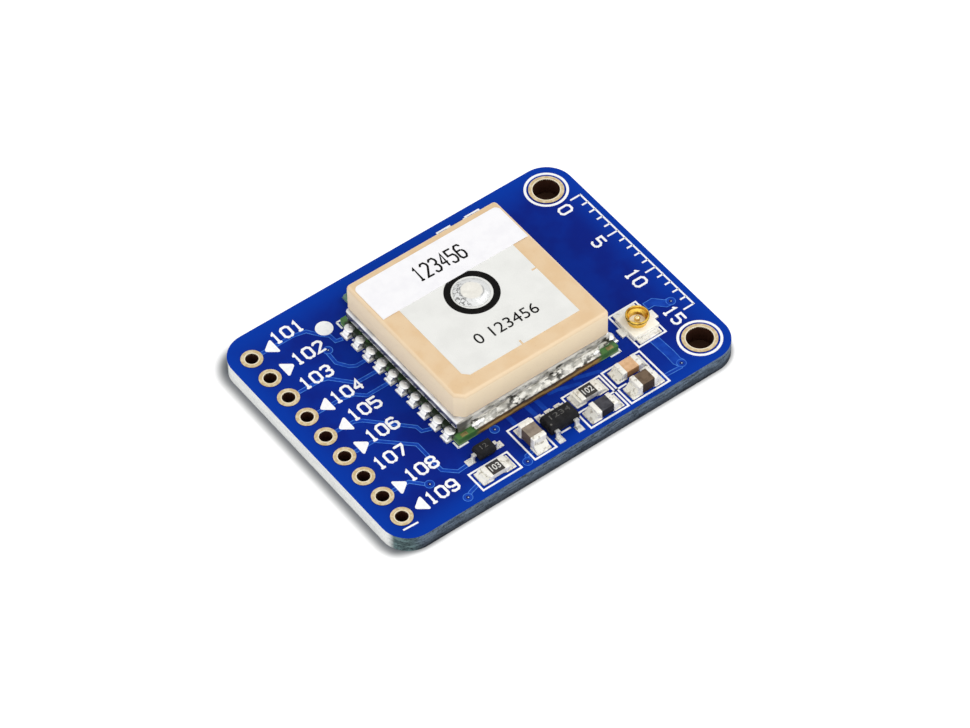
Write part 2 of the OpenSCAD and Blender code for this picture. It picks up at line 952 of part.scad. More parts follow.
// Clear lens with rounded top edges
module led_lens() {
    color([0.45, 0.75, 0.5])
        at_spot(led_spot)
            translate([0, 0, seat_z + led_base_h])
                intersection() {
                    round_plate(chip_l - 2 * led_lens_in, chip_w, led_lens_h, led_lens_r);
                    translate([0, 0, led_lens_h - chip_w])
                        rotate([0, 90, 0])
                            cylinder(h = 2 * chip_l, r = chip_w, center = true);
                }
}

module led_ends() {
    color([0.88, 0.88, 0.86])
        chip_caps(led_spot, led_base_h);
}

// Fillets at the ends of the chips and in front of the lead feet
module chip_solder() {
    color([0.91, 0.91, 0.89])
        union() {
            for (c = chip_list)
                at_spot(c[0])
                    at_ends(chip_l)
                        fillet(chip_land_out, chip_w, 0.75 * c[1]);
            at_spot(led_spot)
                at_ends(chip_l)
                    fillet(led_land_out, chip_w, 0.75 * led_base_h);
            at_reg_leads()
                translate([lead_reach, 0, 0])
                    fillet(lead_land_out, reg_lead_w, lead_t);
            at_diode_leads()
                translate([lead_reach, 0, 0])
                    fillet(lead_land_out, diode_lead_w, lead_t);
        }
}

main_board();
header_eyelets();
mount_eyelets();
lands();
module_board();
module_joints();
receiver_chip();
amplifier_chip();
rf_filter();
crystal();
module_passives();
shield_can();
can_solder();
antenna_tape();
antenna_ground();
patch_antenna();
antenna_electrode();
feed_pin();
feed_solder();
antenna_label();
coax_base();
coax_shell();
coax_pin();
regulator_body();
regulator_leads();
diode_body();
diode_leads();
resistor_bodies();
resistor_films();
resistor_ends();
capacitor_large();
capacitor_grey();
capacitor_tan();
capacitor_brown();
capacitor_ends();
led_base();
led_lens();
led_ends();
chip_solder();
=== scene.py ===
"""Looks of a satellite receiver breakout board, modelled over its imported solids.

Pieces are shaped in millimetres and brought to metres as each one is finished.
"""

import logging
import math
import random
from collections.abc import Callable, Iterator, Sequence
from contextlib import contextmanager
from dataclasses import dataclass, field
from enum import Enum
from typing import Any

import bmesh
import bpy
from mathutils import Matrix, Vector


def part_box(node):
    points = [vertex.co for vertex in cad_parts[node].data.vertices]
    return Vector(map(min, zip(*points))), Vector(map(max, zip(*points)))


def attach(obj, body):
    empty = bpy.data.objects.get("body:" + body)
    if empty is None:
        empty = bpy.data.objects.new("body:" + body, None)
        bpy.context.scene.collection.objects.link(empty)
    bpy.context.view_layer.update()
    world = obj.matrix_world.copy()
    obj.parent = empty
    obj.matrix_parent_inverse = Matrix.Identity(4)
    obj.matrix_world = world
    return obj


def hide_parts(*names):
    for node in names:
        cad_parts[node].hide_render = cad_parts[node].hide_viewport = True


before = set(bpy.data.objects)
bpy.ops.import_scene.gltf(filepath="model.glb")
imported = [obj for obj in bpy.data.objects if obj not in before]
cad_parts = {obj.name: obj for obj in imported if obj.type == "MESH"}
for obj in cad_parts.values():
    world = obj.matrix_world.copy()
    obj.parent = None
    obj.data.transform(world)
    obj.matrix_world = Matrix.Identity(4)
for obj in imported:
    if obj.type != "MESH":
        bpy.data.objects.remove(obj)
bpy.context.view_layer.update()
MM = 0.001
LOG = logging.getLogger("board")
Colour = tuple[float, float, float, float]
Object = bpy.types.Object


def tint(red: float, green: float, blue: float) -> Colour:
    """Turns display values into a linear colour.

    Args:
        red: From 0 to 255.
        green: From 0 to 255.
        blue: From 0 to 255.

    Returns:
        The colour, opaque.
    """
    parts = [value / 255 for value in (red, green, blue)]
    linear = [p / 12.92 if p < 0.04045 else ((p + 0.055) / 1.055) ** 2.4 for p in parts]
    return (linear[0], linear[1], linear[2], 1.0)


def span(node: str) -> tuple[Vector, Vector]:
    """Gives a solid's lowest and highest corner in millimetres."""
    low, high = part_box(node)
    return low / MM, high / MM


def centre(node: str) -> list[float]:
    """Gives the middle of a solid's box in millimetres."""
    low, high = span(node)
    return [(a + b) / 2 for a, b in zip(low, high)]


class Pick(Enum):
    """What a selection in edit mode is made of."""

    VERTS = "VERT"
    EDGES = "EDGE"
    FACES = "FACE"


class Apex(Enum):
    """Which way a printed arrow beside a header hole points."""

    OUT = -1
    IN = 1


class Wire:
    """An output socket that takes part in arithmetic through Math nodes."""

    def __init__(self, graph: "Graph", socket: bpy.types.NodeSocket) -> None:
        """Keeps the socket and the graph that it belongs to."""
        self.graph = graph
        self.socket = socket

    def __add__(self, other: Any) -> "Wire":
        """Adds."""
        return self.graph.math("ADD", self, other)

    def __sub__(self, other: Any) -> "Wire":
        """Subtracts."""
        return self.graph.math("SUBTRACT", self, other)

    def __rsub__(self, other: Any) -> "Wire":
        """Subtracts from a number."""
        return self.graph.math("SUBTRACT", other, self)

    def __mul__(self, other: Any) -> "Wire":
        """Multiplies."""
        return self.graph.math("MULTIPLY", self, other)

    def __gt__(self, other: Any) -> "Wire":
        """Gives 1 where it is greater."""
        return self.graph.math("GREATER_THAN", self, other)

    def __lt__(self, other: Any) -> "Wire":
        """Gives 1 where it is less."""
        return self.graph.math("LESS_THAN", self, other)

    def __abs__(self) -> "Wire":
        """Drops the sign."""
        return self.graph.math("ABSOLUTE", self)

    __radd__ = __add__
    __rmul__ = __mul__


class Graph:
    """A node tree that is written as expressions."""

    def __init__(self, tree: bpy.types.NodeTree) -> None:
        """Starts from an empty tree."""
        self.tree = tree
        tree.nodes.clear()

    def node(self, kind: str, settings: dict[str, Any] | None = None,
             sockets: dict[Any, Any] | None = None, out: Any = 0) -> Wire:
        """Adds one node.

        Args:
            kind: The node's type.
            settings: Its properties, or a ramp's stops, which are set first.
            sockets: A value or a wire for each input.
            out: The output that is wanted.

        Returns:
            That output.
        """
        made = self.tree.nodes.new(kind)
        for key, value in (settings or {}).items():
            setattr(made, key, value)
        for key, value in (sockets or {}).items():
            if isinstance(value, Wire):
                self.tree.links.new(value.socket, made.inputs[key])
            else:
                made.inputs[key].default_value = value
        return Wire(self, made.outputs[out])

    def close(self, kind: str, shader: Wire) -> None:
        """Ends the tree in an output node."""
        self.tree.links.new(shader.socket, self.tree.nodes.new(kind).inputs["Surface"])

    def math(self, operation: str, *values: Any) -> Wire:
        """Adds a Math node on numbers or wires."""
        return self.node("ShaderNodeMath", {"operation": operation}, dict(enumerate(values)))

    def place(self, part: str = "Object") -> Wire:
        """Gives the piece's own coordinates, or its normal."""
        return self.node("ShaderNodeTexCoord", out=part)

    def axes(self, part: str = "Object", scale: float = 1 / MM) -> list[Wire]:
        """Splits a place or a normal into its three numbers.

        Args:
            part: The kind of coordinates.
            scale: What each number is multiplied by, as a rule to millimetres.

        Returns:
            The numbers along X, Y and Z.
        """
        split = self.node("ShaderNodeSeparateXYZ", sockets={0: self.place(part)})
        outputs = split.socket.node.outputs
        wires = [Wire(self, socket) for socket in outputs]
        return wires if scale == 1 else [wire * scale for wire in wires]

    def noise(self, scale: float, detail: float = 2.0, stretch: Sequence[float] = (1, 1, 1)) -> Wire:
        """Gives soft noise.

        Args:
            scale: Blotches to a millimetre.
            detail: Octaves.
            stretch: Scale along each axis.

        Returns:
            A number round one half.
        """
        where = self.place()
        if tuple(stretch) != (1, 1, 1):
            where = self.node("ShaderNodeMapping", sockets={"Vector": where, "Scale": stretch})
        return self.node("ShaderNodeTexNoise",
                         sockets={"Vector": where, "Scale": scale / MM, "Detail": detail})

    def cells(self, scale: float) -> Wire:
        """Gives the distance to the nearest of scattered points, with so many to a millimetre."""
        return self.node("ShaderNodeTexVoronoi", sockets={"Vector": self.place(), "Scale": scale / MM})

    def ease(self, value: Wire, low: float, high: float) -> Wire:
        """Takes a number smoothly from 0 at low to 1 at high."""
        return self.node("ShaderNodeMapRange", {"interpolation_type": "SMOOTHSTEP"},
                         {"Value": value, "From Min": low, "From Max": high})

    def blend(self, share: Wire, first: Any, second: Any) -> Wire:
        """Mixes two colours, from the first at 0 to the second at 1."""
        return self.node("ShaderNodeMix", {"data_type": "RGBA"}, {0: share, 6: first, 7: second}, 2)

    def bump(self, height: Wire, depth: float, strength: float = 1.0) -> Wire:
        """Turns heights into a normal, with the depth in millimetres."""
        return self.node("ShaderNodeBump",
                         sockets={"Strength": strength, "Distance": depth * MM, "Height": height})


@dataclass(frozen=True)
class Finish:
    """A finish that is made into a material once."""

    name: str

    def sockets(self, graph: Graph) -> dict[str, Any]:
        """Gives what the shader's sockets hold."""
        raise NotImplementedError

    def material(self) -> bpy.types.Material:
        """Makes the material, or finds it.

        Returns:
            The material.
        """
        made = bpy.data.materials.get(self.name)
        if made is None:
            made = bpy.data.materials.new(self.name)
            made.use_nodes = True
            graph = Graph(made.node_tree)
            shader = graph.node("ShaderNodeBsdfPrincipled", sockets=self.sockets(graph))
            graph.close("ShaderNodeOutputMaterial", shader)
        return made


@dataclass(frozen=True)
class Skin(Finish):
    """A finish of two tones in soft patches over a fine grain, with painted shade on its upright faces where
    a side colour is given.
    """

    base: Colour
    tone: Colour
    patch: float = 1.0
    cover: tuple[float, float] = (0.4, 0.7)
    rough: tuple[float, float] = (0.4, 0.6)
    metal: float = 0.0
    grain: float = 12.0
    depth: float = 0.01
    gloss: float = 0.5
    coat: float = 0.0
    flank: Colour | None = None

    def sockets(self, graph: Graph) -> dict[str, Any]:
        """Gives patches of tone, uneven roughness and grain, and painted shade on upright faces where asked.

        Args:
            graph: The material's tree.

        Returns:
            What the shader's sockets hold.
        """
        share = graph.ease(graph.noise(self.patch, 4.0), *self.cover)
        colour = graph.blend(share, self.base, self.tone)
        # Painted shade: upright faces are darkened towards the side colour, as if lit only from above.
        if self.flank:
            upright = graph.ease(abs(graph.axes("Normal", 1)[2]), 0.6, 0.2)
            colour = graph.blend(upright * 0.85, colour, self.flank)
        low, high = self.rough
        return {
            "Base Color": colour,
            "Metallic": self.metal,
            "Roughness": low + graph.noise(self.patch * 2.3) * (high - low),
            "Specular IOR Level": self.gloss,
            "Coat Weight": self.coat,
            "Normal": graph.bump(graph.noise(self.grain, 3.0), self.depth),
        }


@dataclass(frozen=True)
class BoardMask(Finish):
    """Blue lacquer on both faces, with bare laminate where the board was cut, and painted light on the edges
    that face −X.
    """

    length: float
    width: float
    lacquer: Colour = tint(8, 43, 144)
    bright: Colour = tint(4, 55, 162)
    deep: Colour = tint(10, 33, 128)
    # pale and moss are painted light on the edges that face −X.
    pale: Colour = tint(246, 247, 244)
    moss: Colour = tint(108, 132, 134)
    slate: Colour = tint(110, 126, 144)
    dusk: Colour = tint(58, 64, 74)
    soot: Colour = tint(22, 26, 32)
    margin: float = 3.0

    def sockets(self, graph: Graph) -> dict[str, Any]:
        """Gives lacquer on the faces, and laminate on the edges, darker towards the bottom and with painted
        light where they face −X.

        Args:
            graph: The material's tree.

        Returns:
            What the shader's sockets hold.
        """
        x, y, z = graph.axes()
        way_x, _, way_z = graph.axes("Normal", 1)
        flat = abs(way_z) > 0.5
        rim_x = abs(x) - (self.length / 2 - self.margin)
        rim_y = abs(y) - (self.width / 2 - self.margin)
        rim = graph.ease(graph.math("MAXIMUM", rim_x, rim_y), 0.0, self.margin)
        face = graph.blend(graph.ease(graph.noise(0.3, 3.0), 0.35, 0.65), self.deep, self.lacquer)
        face = graph.blend(rim, face, self.bright)
        fibre = graph.ease(graph.noise(2.4, 5.0, (0.3, 0.3, 1.6)), 0.42, 0.62)
        grit = graph.ease(graph.noise(6.0, 3.0), 0.46, 0.66)
        # The edge is darker towards the bottom.
        edge = graph.blend(graph.ease(z, 0.0, 1.3), self.dusk, self.slate)
        # Painted light: faces turning towards −X are lighter, greenish at first and near white where they
        # face −X.
        edge = graph.blend(graph.ease(way_x * -1, 0.1, 0.6), edge, self.moss)
        edge = graph.blend(graph.math("MINIMUM", fibre * 0.5 + grit * 0.4, 0.8), edge, self.soot)
        pale = graph.blend(fibre * 0.1 + grit * 0.14, self.pale, self.slate)
        edge = graph.blend(graph.ease(way_x * -1, 0.88, 0.99), edge, pale)
        return {
            "Base Color": graph.blend(flat, edge, face),
            "Roughness": 0.66 - flat * 0.3 + graph.noise(2.0) * 0.1,
            "Specular IOR Level": 0.04,
            "Normal": graph.bump(graph.noise(1.2, 4.0), 0.02, 0.5),
        }


@dataclass(frozen=True)
class Plating(Finish):
    """Thin gold on the rings, with a dull barrel whose dark colour is painted shade."""

    gold: Colour = tint(208, 184, 138)
    worn: Colour = tint(228, 212, 178)
    # dark is painted shade inside the hole.
    dark: Colour = tint(64, 36, 24)

    def sockets(self, graph: Graph) -> dict[str, Any]:
        """Gives the ring, and the barrel in painted shade, by direction.

        Args:
            graph: The material's tree.

        Returns:
            What the shader's sockets hold.
        """
        _, _, way_z = graph.axes("Normal", 1)
        ring = abs(way_z) > 0.5
        tone = graph.ease(graph.noise(3.0, 3.0), 0.4, 0.65)
        return {
            # Upright barrel faces take the painted shade.
            "Base Color": graph.blend(ring, self.dark, graph.blend(tone, self.gold, self.worn)),
            "Metallic": ring * 0.55 + 0.25,
            "Roughness": 0.38 + graph.noise(6.0) * 0.2,
            "Normal": graph.bump(graph.noise(14.0), 0.012, 0.6),
        }


@dataclass(frozen=True)
class CarrierLaminate(Finish):
    """Green lacquered carrier with a copper band along its front edge, painted shade between the joints and a
    painted highlight low on its sides.
    """

    middle: float
    front: float
    half: float = 8.0
    green: Colour = tint(66, 114, 50)
    # shade is painted shade for the strips between the joints.
    shade: Colour = tint(24, 38, 18)
    copper: Colour = tint(196, 156, 78)
    umber: Colour = tint(104, 78, 40)
    burnt: Colour = tint(44, 34, 20)
    # light is a painted highlight low on the carrier's sides.
    light: Colour = tint(124, 162, 98)

    def sockets(self, graph: Graph) -> dict[str, Any]:
        """Gives lacquer above, copper on the front between the corners, painted shade in the strips beside
        the can and a painted highlight low on the sides.

        Args:
            graph: The material's tree.

        Returns:
            What the shader's sockets hold.
        """
        x, y, z = graph.axes()
        _, way_y, way_z = graph.axes("Normal", 1)
        wander = graph.noise(1.8, 5.0, (0.4, 1, 2)) * 0.6 - 0.14
        reach = graph.ease(abs(x - self.middle) + wander, 6.6, 5.9)
        edge = reach * (way_y < -0.5)
        ledge = reach * graph.ease(y, self.front + 0.8, self.front + 0.6) * (way_z > 0.5)
        # Painted highlight: the lower part of each side is lighter.
        side = graph.blend(graph.ease(z, 1.9, 1.7), self.green, self.light)
        band = graph.ease(z + wander, 1.9, 2.05) * graph.ease(z + wander, 2.32, 2.2)
        rust = graph.blend(band, self.umber, self.copper)
        # Darker along the top of the front edge, just under the solder bead.
        rust = graph.blend(graph.ease(z + wander, 2.46, 2.58), rust, self.burnt)
        patches = graph.ease(graph.noise(1.6, 5.0, (0.4, 1, 1)), 0.44, 0.6)
        # Patches of umber and dark umber on the ledge in front of the can.
        ledge_patches = graph.blend(patches, self.umber, self.burnt)
        body = graph.blend(abs(way_z) > 0.5, side, self.green)
        along = graph.ease(abs(y - self.front - self.half) + wander, 7.75, 7.45)
        # Painted shade: the strips between the joints, beside the can, are darkened where shade falls.
        strip = graph.ease(abs(x - self.middle), 6.6, 6.9) * along
        body = graph.blend(strip * graph.ease(graph.noise(2.2, 3.0), 0.72, 0.55), body, self.shade)
        return {
            "Base Color": graph.blend(ledge, graph.blend(edge, body, rust), ledge_patches),
            "Metallic": edge * 0.2,
            "Roughness": 0.4 + graph.noise(5.0) * 0.2,
            "Normal": graph.bump(graph.noise(8.0), 0.02, 0.6),
        }


@dataclass(frozen=True)
class TinSheet(Finish):
    """Tinned sheet, stained and speckled where the front wall was soldered."""

    front: float
    left: float
    metal: Colour = tint(242, 243, 244)
    dull: Colour = tint(208, 210, 213)
    smear: Colour = tint(208, 206, 198)
    wiped: Colour = tint(248, 246, 238)
    haze: Colour = tint(146, 143, 132)
    stain: Colour = tint(44, 42, 34)
    # dusk is a painted dark reflection on the can's side walls.
    dusk: Colour = tint(70, 72, 98)

    def sockets(self, graph: Graph) -> dict[str, Any]:
        """Gives a brushed metal with a painted dark reflection on its side walls, and stains on its front.

        Args:
            graph: The material's tree.

        Returns:
            What the shader's sockets hold.
        """
        x, y, z = graph.axes()
        way_x, _, _ = graph.axes("Normal", 1)
        front = graph.ease(y, self.front + 0.2, self.front + 0.1)
        crest = graph.ease(z, 3.2, 3.34)
        drift = graph.ease(graph.noise(0.6, 3.0), 0.4, 0.62)
        speck = graph.ease(graph.noise(3.2, 9.0, (0.55, 1, 1)), 0.47, 0.57) * (drift * 0.7 + 0.32)
        ragged = x + graph.noise(1.5, 4.0) * 1.2
        corner = graph.ease(ragged, self.left + 2.2, self.left + 1.2) * 0.85
        blot = graph.math("MAXIMUM", speck, corner) * front * graph.ease(z, 3.44, 3.32)
        brushed = graph.blend(graph.ease(graph.noise(1.1, 3.0), 0.35, 0.65), self.metal, self.dull)
        # Painted reflection: the upper side walls take a dark band, as if reflecting dark surroundings.
        wall = graph.ease(abs(way_x), 0.75, 0.95) * graph.ease(z, 2.88, 2.94)
        brushed = graph.blend(wall * 0.9, brushed, self.dusk)
        lower = graph.ease(z, 3.1, 2.6)
        smear = graph.blend(lower * 0.9, self.smear, self.wiped)
        cloud = graph.ease(graph.noise(1.8, 7.0, (0.5, 1, 1)), 0.44, 0.6) * (0.85 - lower * 0.3)
        smear = graph.blend(cloud, smear, self.haze)
        brushed = graph.blend(front, brushed, smear)
        return {
            "Base Color": graph.blend(blot, brushed, self.stain),
            "Metallic": 0.95 - graph.math("MAXIMUM", front * 0.75, crest * 0.7),
            "Roughness": 0.14 + front * 0.3 + graph.noise(7.0) * 0.12,
            "Normal": graph.bump(graph.noise(5.0, 4.0), 0.02, 0.7),
        }


@dataclass(frozen=True)
class Ceramic(Finish):
    """Fired dielectric, with painted light on its walls and a painted highlight along the tumbled edges of
    its top.
    """

    body: Colour = tint(228, 200, 162)
    warm: Colour = tint(224, 192, 150)
    # wall is painted light on the upright faces; edge is a painted highlight on the rounded top edges.
    wall: Colour = tint(252, 232, 198)
    edge: Colour = tint(238, 214, 180)
    pore: Colour = tint(170, 136, 104)

    def sockets(self, graph: Graph) -> dict[str, Any]:
        """Gives a fine body with pores, painted light on the walls and a painted highlight on the edges.

        Args:
            graph: The material's tree.

        Returns:
            What the shader's sockets hold.
        """
        _, _, way_z = graph.axes("Normal", 1)
        edge_highlight = graph.ease(way_z, 0.0, 0.55) * graph.ease(way_z, 1.0, 0.86)
        tone = graph.ease(graph.noise(0.6, 4.0), 0.35, 0.65)
        pores = graph.ease(graph.cells(5.0), 0.16, 0.05) * 0.35
        body = graph.blend(tone, self.body, self.warm)
        # Painted light: upright walls are lighter.
        body = graph.blend(graph.ease(abs(way_z), 0.5, 0.05), body, self.wall)
        # Painted highlight along the rounded top edges.
        body = graph.blend(edge_highlight * 0.8, body, self.edge)
        return {
            "Base Color": graph.blend(pores, body, self.pore),
            "Roughness": 0.55 + graph.noise(4.0) * 0.2,
            "Specular IOR Level": 0.35,
            "Normal": graph.bump(graph.noise(9.0, 4.0), 0.02, 0.6),
        }


@dataclass(frozen=True)
class FrozenDrop(Finish):
    """Solder that froze with a smooth crown and a wrinkled, darker skirt."""

    x: float
    y: float
    crown: Colour = tint(238, 235, 226)
    skirt: Colour = tint(226, 227, 226)
    wrinkle: Colour = tint(66, 64, 60)

    def sockets(self, graph: Graph) -> dict[str, Any]:
        """Gives wrinkles round the skirt by the distance from the middle.

        Args:
            graph: The material's tree.

        Returns:
            What the shader's sockets hold.
        """
        x, y, _ = graph.axes()
        dx, dy = x - self.x, y - self.y
        away = graph.math("SQRT", dx * dx + dy * dy) + graph.noise(1.2, 3.0) * 0.3
        skirt = graph.ease(away, 0.95, 1.15)
        rim = graph.ease(abs(away - 1.1), 0.09, 0.02)
        fold = graph.ease(abs(graph.noise(2.4, 7.0) - 0.5), 0.05, 0.015)
        fold = fold * graph.ease(dy * 0.3 - dx, 0.1, 1.0)
        rim = rim * graph.ease(graph.noise(1.6, 5.0), 0.44, 0.62)
        dark = graph.math("MAXIMUM", fold * skirt * 0.9, rim * 0.45)
        return {
            "Base Color": graph.blend(dark, graph.blend(skirt, self.crown, self.skirt), self.wrinkle),
            "Metallic": 0.3,
            "Roughness": 0.26 + graph.noise(3.0) * 0.16,
            "Normal": graph.bump(graph.noise(2.6, 6.0), 0.06),
        }


MASK_TRACE = Skin("trace lacquer", tint(18, 58, 160), tint(24, 70, 176), 1.4, (0.35, 0.65), (0.3, 0.42),
                  grain=6.0, depth=0.006, gloss=0.04)
# The trace edge colour is a painted highlight, pale all round each trace and via.
MASK_EDGE = Skin("trace edge", tint(76, 132, 218), tint(44, 98, 198), 2.2, (0.35, 0.7), (0.3, 0.42),
                 gloss=0.04)
VIA_SHADE = Skin("via hollow", tint(6, 18, 80), tint(10, 28, 100), 4.0, rough=(0.5, 0.7), gloss=0.2)
# A painted highlight: a small bright dot in each via.
VIA_GLINT = Skin("painted via glint", tint(206, 222, 246), tint(150, 184, 234), 9.0, rough=(0.3, 0.5))
SILK = Skin("legend ink", tint(250, 250, 250), tint(238, 240, 244), 3.0, (0.45, 0.75), (0.5, 0.7),
            grain=18.0)
SOLDER = Skin("solder", tint(253, 252, 245), tint(236, 233, 222), 2.2, (0.5, 0.72), (0.28, 0.42), 0.3, 5.0,
              0.03)
FILLET = Skin("solder fillet", tint(238, 236, 226), tint(172, 166, 152), 2.6, (0.5, 0.68), (0.34, 0.5),
              0.15, 6.0, 0.05)
TINNED = Skin("tinned land", tint(234, 234, 230), tint(168, 168, 166), 2.6, (0.52, 0.7), (0.22, 0.42), 0.55,
              6.0, 0.04)
LEAD = Skin("plated lead", tint(226, 226, 222), tint(182, 182, 180), 2.6, (0.48, 0.7), (0.24, 0.42), 0.65,
            9.0, 0.02)
MOULD = Skin("black moulding", tint(24, 24, 26), tint(34, 34, 36), 2.4, (0.35, 0.7), (0.5, 0.7), grain=16.0,
             depth=0.03, gloss=0.14)
CHIP = Skin("chip ceramic", tint(226, 224, 218), tint(206, 203, 196), 2.0, rough=(0.5, 0.7))
GLAZE = Skin("resistor glaze", tint(30, 28, 28), tint(44, 40, 38), 2.0, (0.4, 0.7), (0.24, 0.4), grain=7.0,
             depth=0.012)
END_TIN = Skin("end cap tin", tint(243, 241, 233), tint(186, 180, 166), 2.8, (0.52, 0.7), (0.28, 0.44),
               0.25, 6.0, 0.04)
DULL_TIN = Skin("dull lamp tin", tint(112, 146, 124), tint(84, 116, 104), 2.4, rough=(0.4, 0.6), metal=0.2)
# The capacitors' side colours are painted shade on their upright faces.
CAP_DARK = Skin("capacitor umber", tint(150, 138, 124), tint(126, 114, 102), 2.0, (0.35, 0.7), (0.4, 0.6),
                gloss=0.12, flank=tint(78, 64, 58))
CAP_GREY = Skin("capacitor grey", tint(74, 74, 80), tint(52, 52, 58), 2.0, (0.35, 0.7), (0.4, 0.6),
                gloss=0.12, flank=tint(22, 20, 22))
CAP_TAN = Skin("capacitor tan", tint(226, 186, 146), tint(208, 166, 124), 2.0, (0.35, 0.7), (0.4, 0.6),
               gloss=0.12, flank=tint(172, 120, 66))
CAP_BROWN = Skin("capacitor brown", tint(114, 96, 78), tint(92, 76, 60), 2.0, (0.35, 0.7), (0.4, 0.6),
                 gloss=0.12, flank=tint(38, 27, 20))
SILVER_PRINT = Skin("silver print", tint(234, 234, 230), tint(228, 228, 224), 0.5, (0.35, 0.7), (0.5, 0.66),
                    0.2, 10.0, 0.015, 0.4)
PAPER = Skin("label paper", tint(245, 244, 246), tint(240, 239, 242), 0.8, (0.4, 0.7), (0.62, 0.8),
             grain=16.0, gloss=0.3)
INK = Skin("black ink", tint(10, 9, 8), tint(24, 21, 19), 5.0, (0.5, 0.75), (0.5, 0.7), gloss=0.08)
FAINT_INK = Skin("grey marking", tint(88, 87, 84), tint(52, 52, 52), 6.0, (0.4, 0.65), (0.5, 0.7))
WHITE_INK = Skin("white marking", tint(222, 222, 218), tint(182, 182, 180), 6.0, (0.5, 0.75), (0.5, 0.7))
TAPE = Skin("foam tape", tint(228, 226, 220), tint(210, 208, 200), 3.0, rough=(0.7, 0.9))
# The dark brown tone, in random patches, is painted reflection on the gold.
GOLD = Skin("socket gold", tint(236, 196, 88), tint(150, 98, 24), 1.5, (0.48, 0.7), (0.14, 0.28), 0.92, 7.0,
            0.015)
CONTACT = Skin("contact gold", tint(248, 230, 178), tint(232, 204, 132), 2.4, (0.4, 0.7), (0.2, 0.34), 0.75,
               7.0)
CREAM = Skin("socket insulator", tint(255, 252, 240), tint(250, 243, 226), 1.4, rough=(0.45, 0.62))
LED_BASE = Skin("lamp base", tint(112, 132, 116), tint(90, 108, 96), 2.0, rough=(0.5, 0.7))
LED_LENS = Skin("lamp lens", tint(98, 134, 114), tint(78, 112, 98), 1.4, rough=(0.14, 0.24), depth=0.004,
                coat=0.4)
# The lip's pale colour is a painted highlight round each hole's rim.
BARREL_LIP_HIGHLIGHT = Skin("barrel lip highlight", tint(242, 232, 208), tint(222, 204, 166), 3.0, (0.4, 0.7), (0.3, 0.5), 0.4,
                  9.0)
LEDGE_PAD = Skin("bare pad", tint(150, 136, 84), tint(120, 108, 66), 3.0, rough=(0.3, 0.5), metal=0.5)


def clear() -> None:
    """Leaves edit mode and deselects everything."""
    if bpy.context.mode != "OBJECT":
        bpy.ops.object.mode_set(mode="OBJECT")
    bpy.ops.object.select_all(action="DESELECT")


def choose(*pieces: Object) -> None:
    """Selects these alone.

    Args:
        *pieces: What is selected, with the first one active.
    """
    clear()
    for piece in pieces:
        piece.select_set(True)
    bpy.context.view_layer.objects.active = pieces[0]


def everything() -> None:
    """Selects all of the mesh that is being edited."""
    bpy.ops.mesh.select_all(action="SELECT")


def settle(piece: Object) -> Object:
    """Puts a piece's place, turn and scale into its mesh.

    Args:
        piece: What was moved, turned or scaled.

    Returns:
        The piece.
    """
    choose(piece)
    bpy.ops.object.transform_apply(location=True, rotation=True, scale=True)
    return piece


def join(pieces: Sequence[Object]) -> Object:
    """Makes several pieces one.

    Args:
        pieces: What is joined.

    Returns:
        The first of them, with the others in it.
    """
    choose(*pieces)
    if len(pieces) > 1:
        bpy.ops.object.join()
    return pieces[0]


def copy(piece: Object, spot: Sequence[float], turn: float = 0.0,
         scale: Sequence[float] = (1, 1, 1)) -> Object:
    """Copies a piece, mesh and all.

    Args:
        piece: What is copied.
        spot: Where its origin goes.
        turn: Its turn about the vertical, in degrees.
        scale: Its scale along each axis.

    Returns:
        The copy.
    """
    choose(piece)
    bpy.ops.object.duplicate()
    made = bpy.context.object
    made.location, made.rotation_euler, made.scale = spot, (0, 0, math.radians(turn)), scale
    return settle(made)


def drop(*pieces: Object) -> None:
    """Deletes pieces that were only tools."""
    choose(*pieces)
    bpy.ops.object.delete()


def modify(piece: Object, kind: str, **settings: Any) -> Object:
    """Adds a modifier and applies it.

    Args:
        piece: What it acts on.
        kind: The modifier's type.
        **settings: Its properties.

    Returns:
        The piece.
    """
    modifier = piece.modifiers.new(kind.lower(), kind)
    for key, value in settings.items():
        setattr(modifier, key, value)
    choose(piece)
    bpy.ops.object.modifier_apply(modifier=modifier.name)
    return piece


def soften(piece: Object, width: float, segments: int = 2, angle: float = 30) -> Object:
    """Rounds every edge that is sharper than an angle."""
    return modify(piece, "BEVEL", width=width, segments=segments, limit_method="ANGLE",
                  angle_limit=math.radians(angle))


def cut(piece: Object, *tools: Object) -> Object:
    """Takes tools away from a piece and deletes them.

    Args:
        piece: What is cut.
        *tools: What it is cut with, one after the other.

    Returns:
        The piece.
    """
    for tool in tools:
        modify(piece, "BOOLEAN", object=tool, operation="DIFFERENCE", solver="EXACT")
    drop(*tools)
    return piece


@contextmanager
def editing(piece: Object) -> Iterator[None]:
    """Opens a piece in edit mode with nothing selected.

    Args:
        piece: What is edited.

    Yields:
        Once, while the piece is open.
    """
    choose(piece)
    bpy.ops.object.mode_set(mode="EDIT")
    bpy.ops.mesh.select_all(action="DESELECT")
    yield
    bpy.ops.object.mode_set(mode="OBJECT")


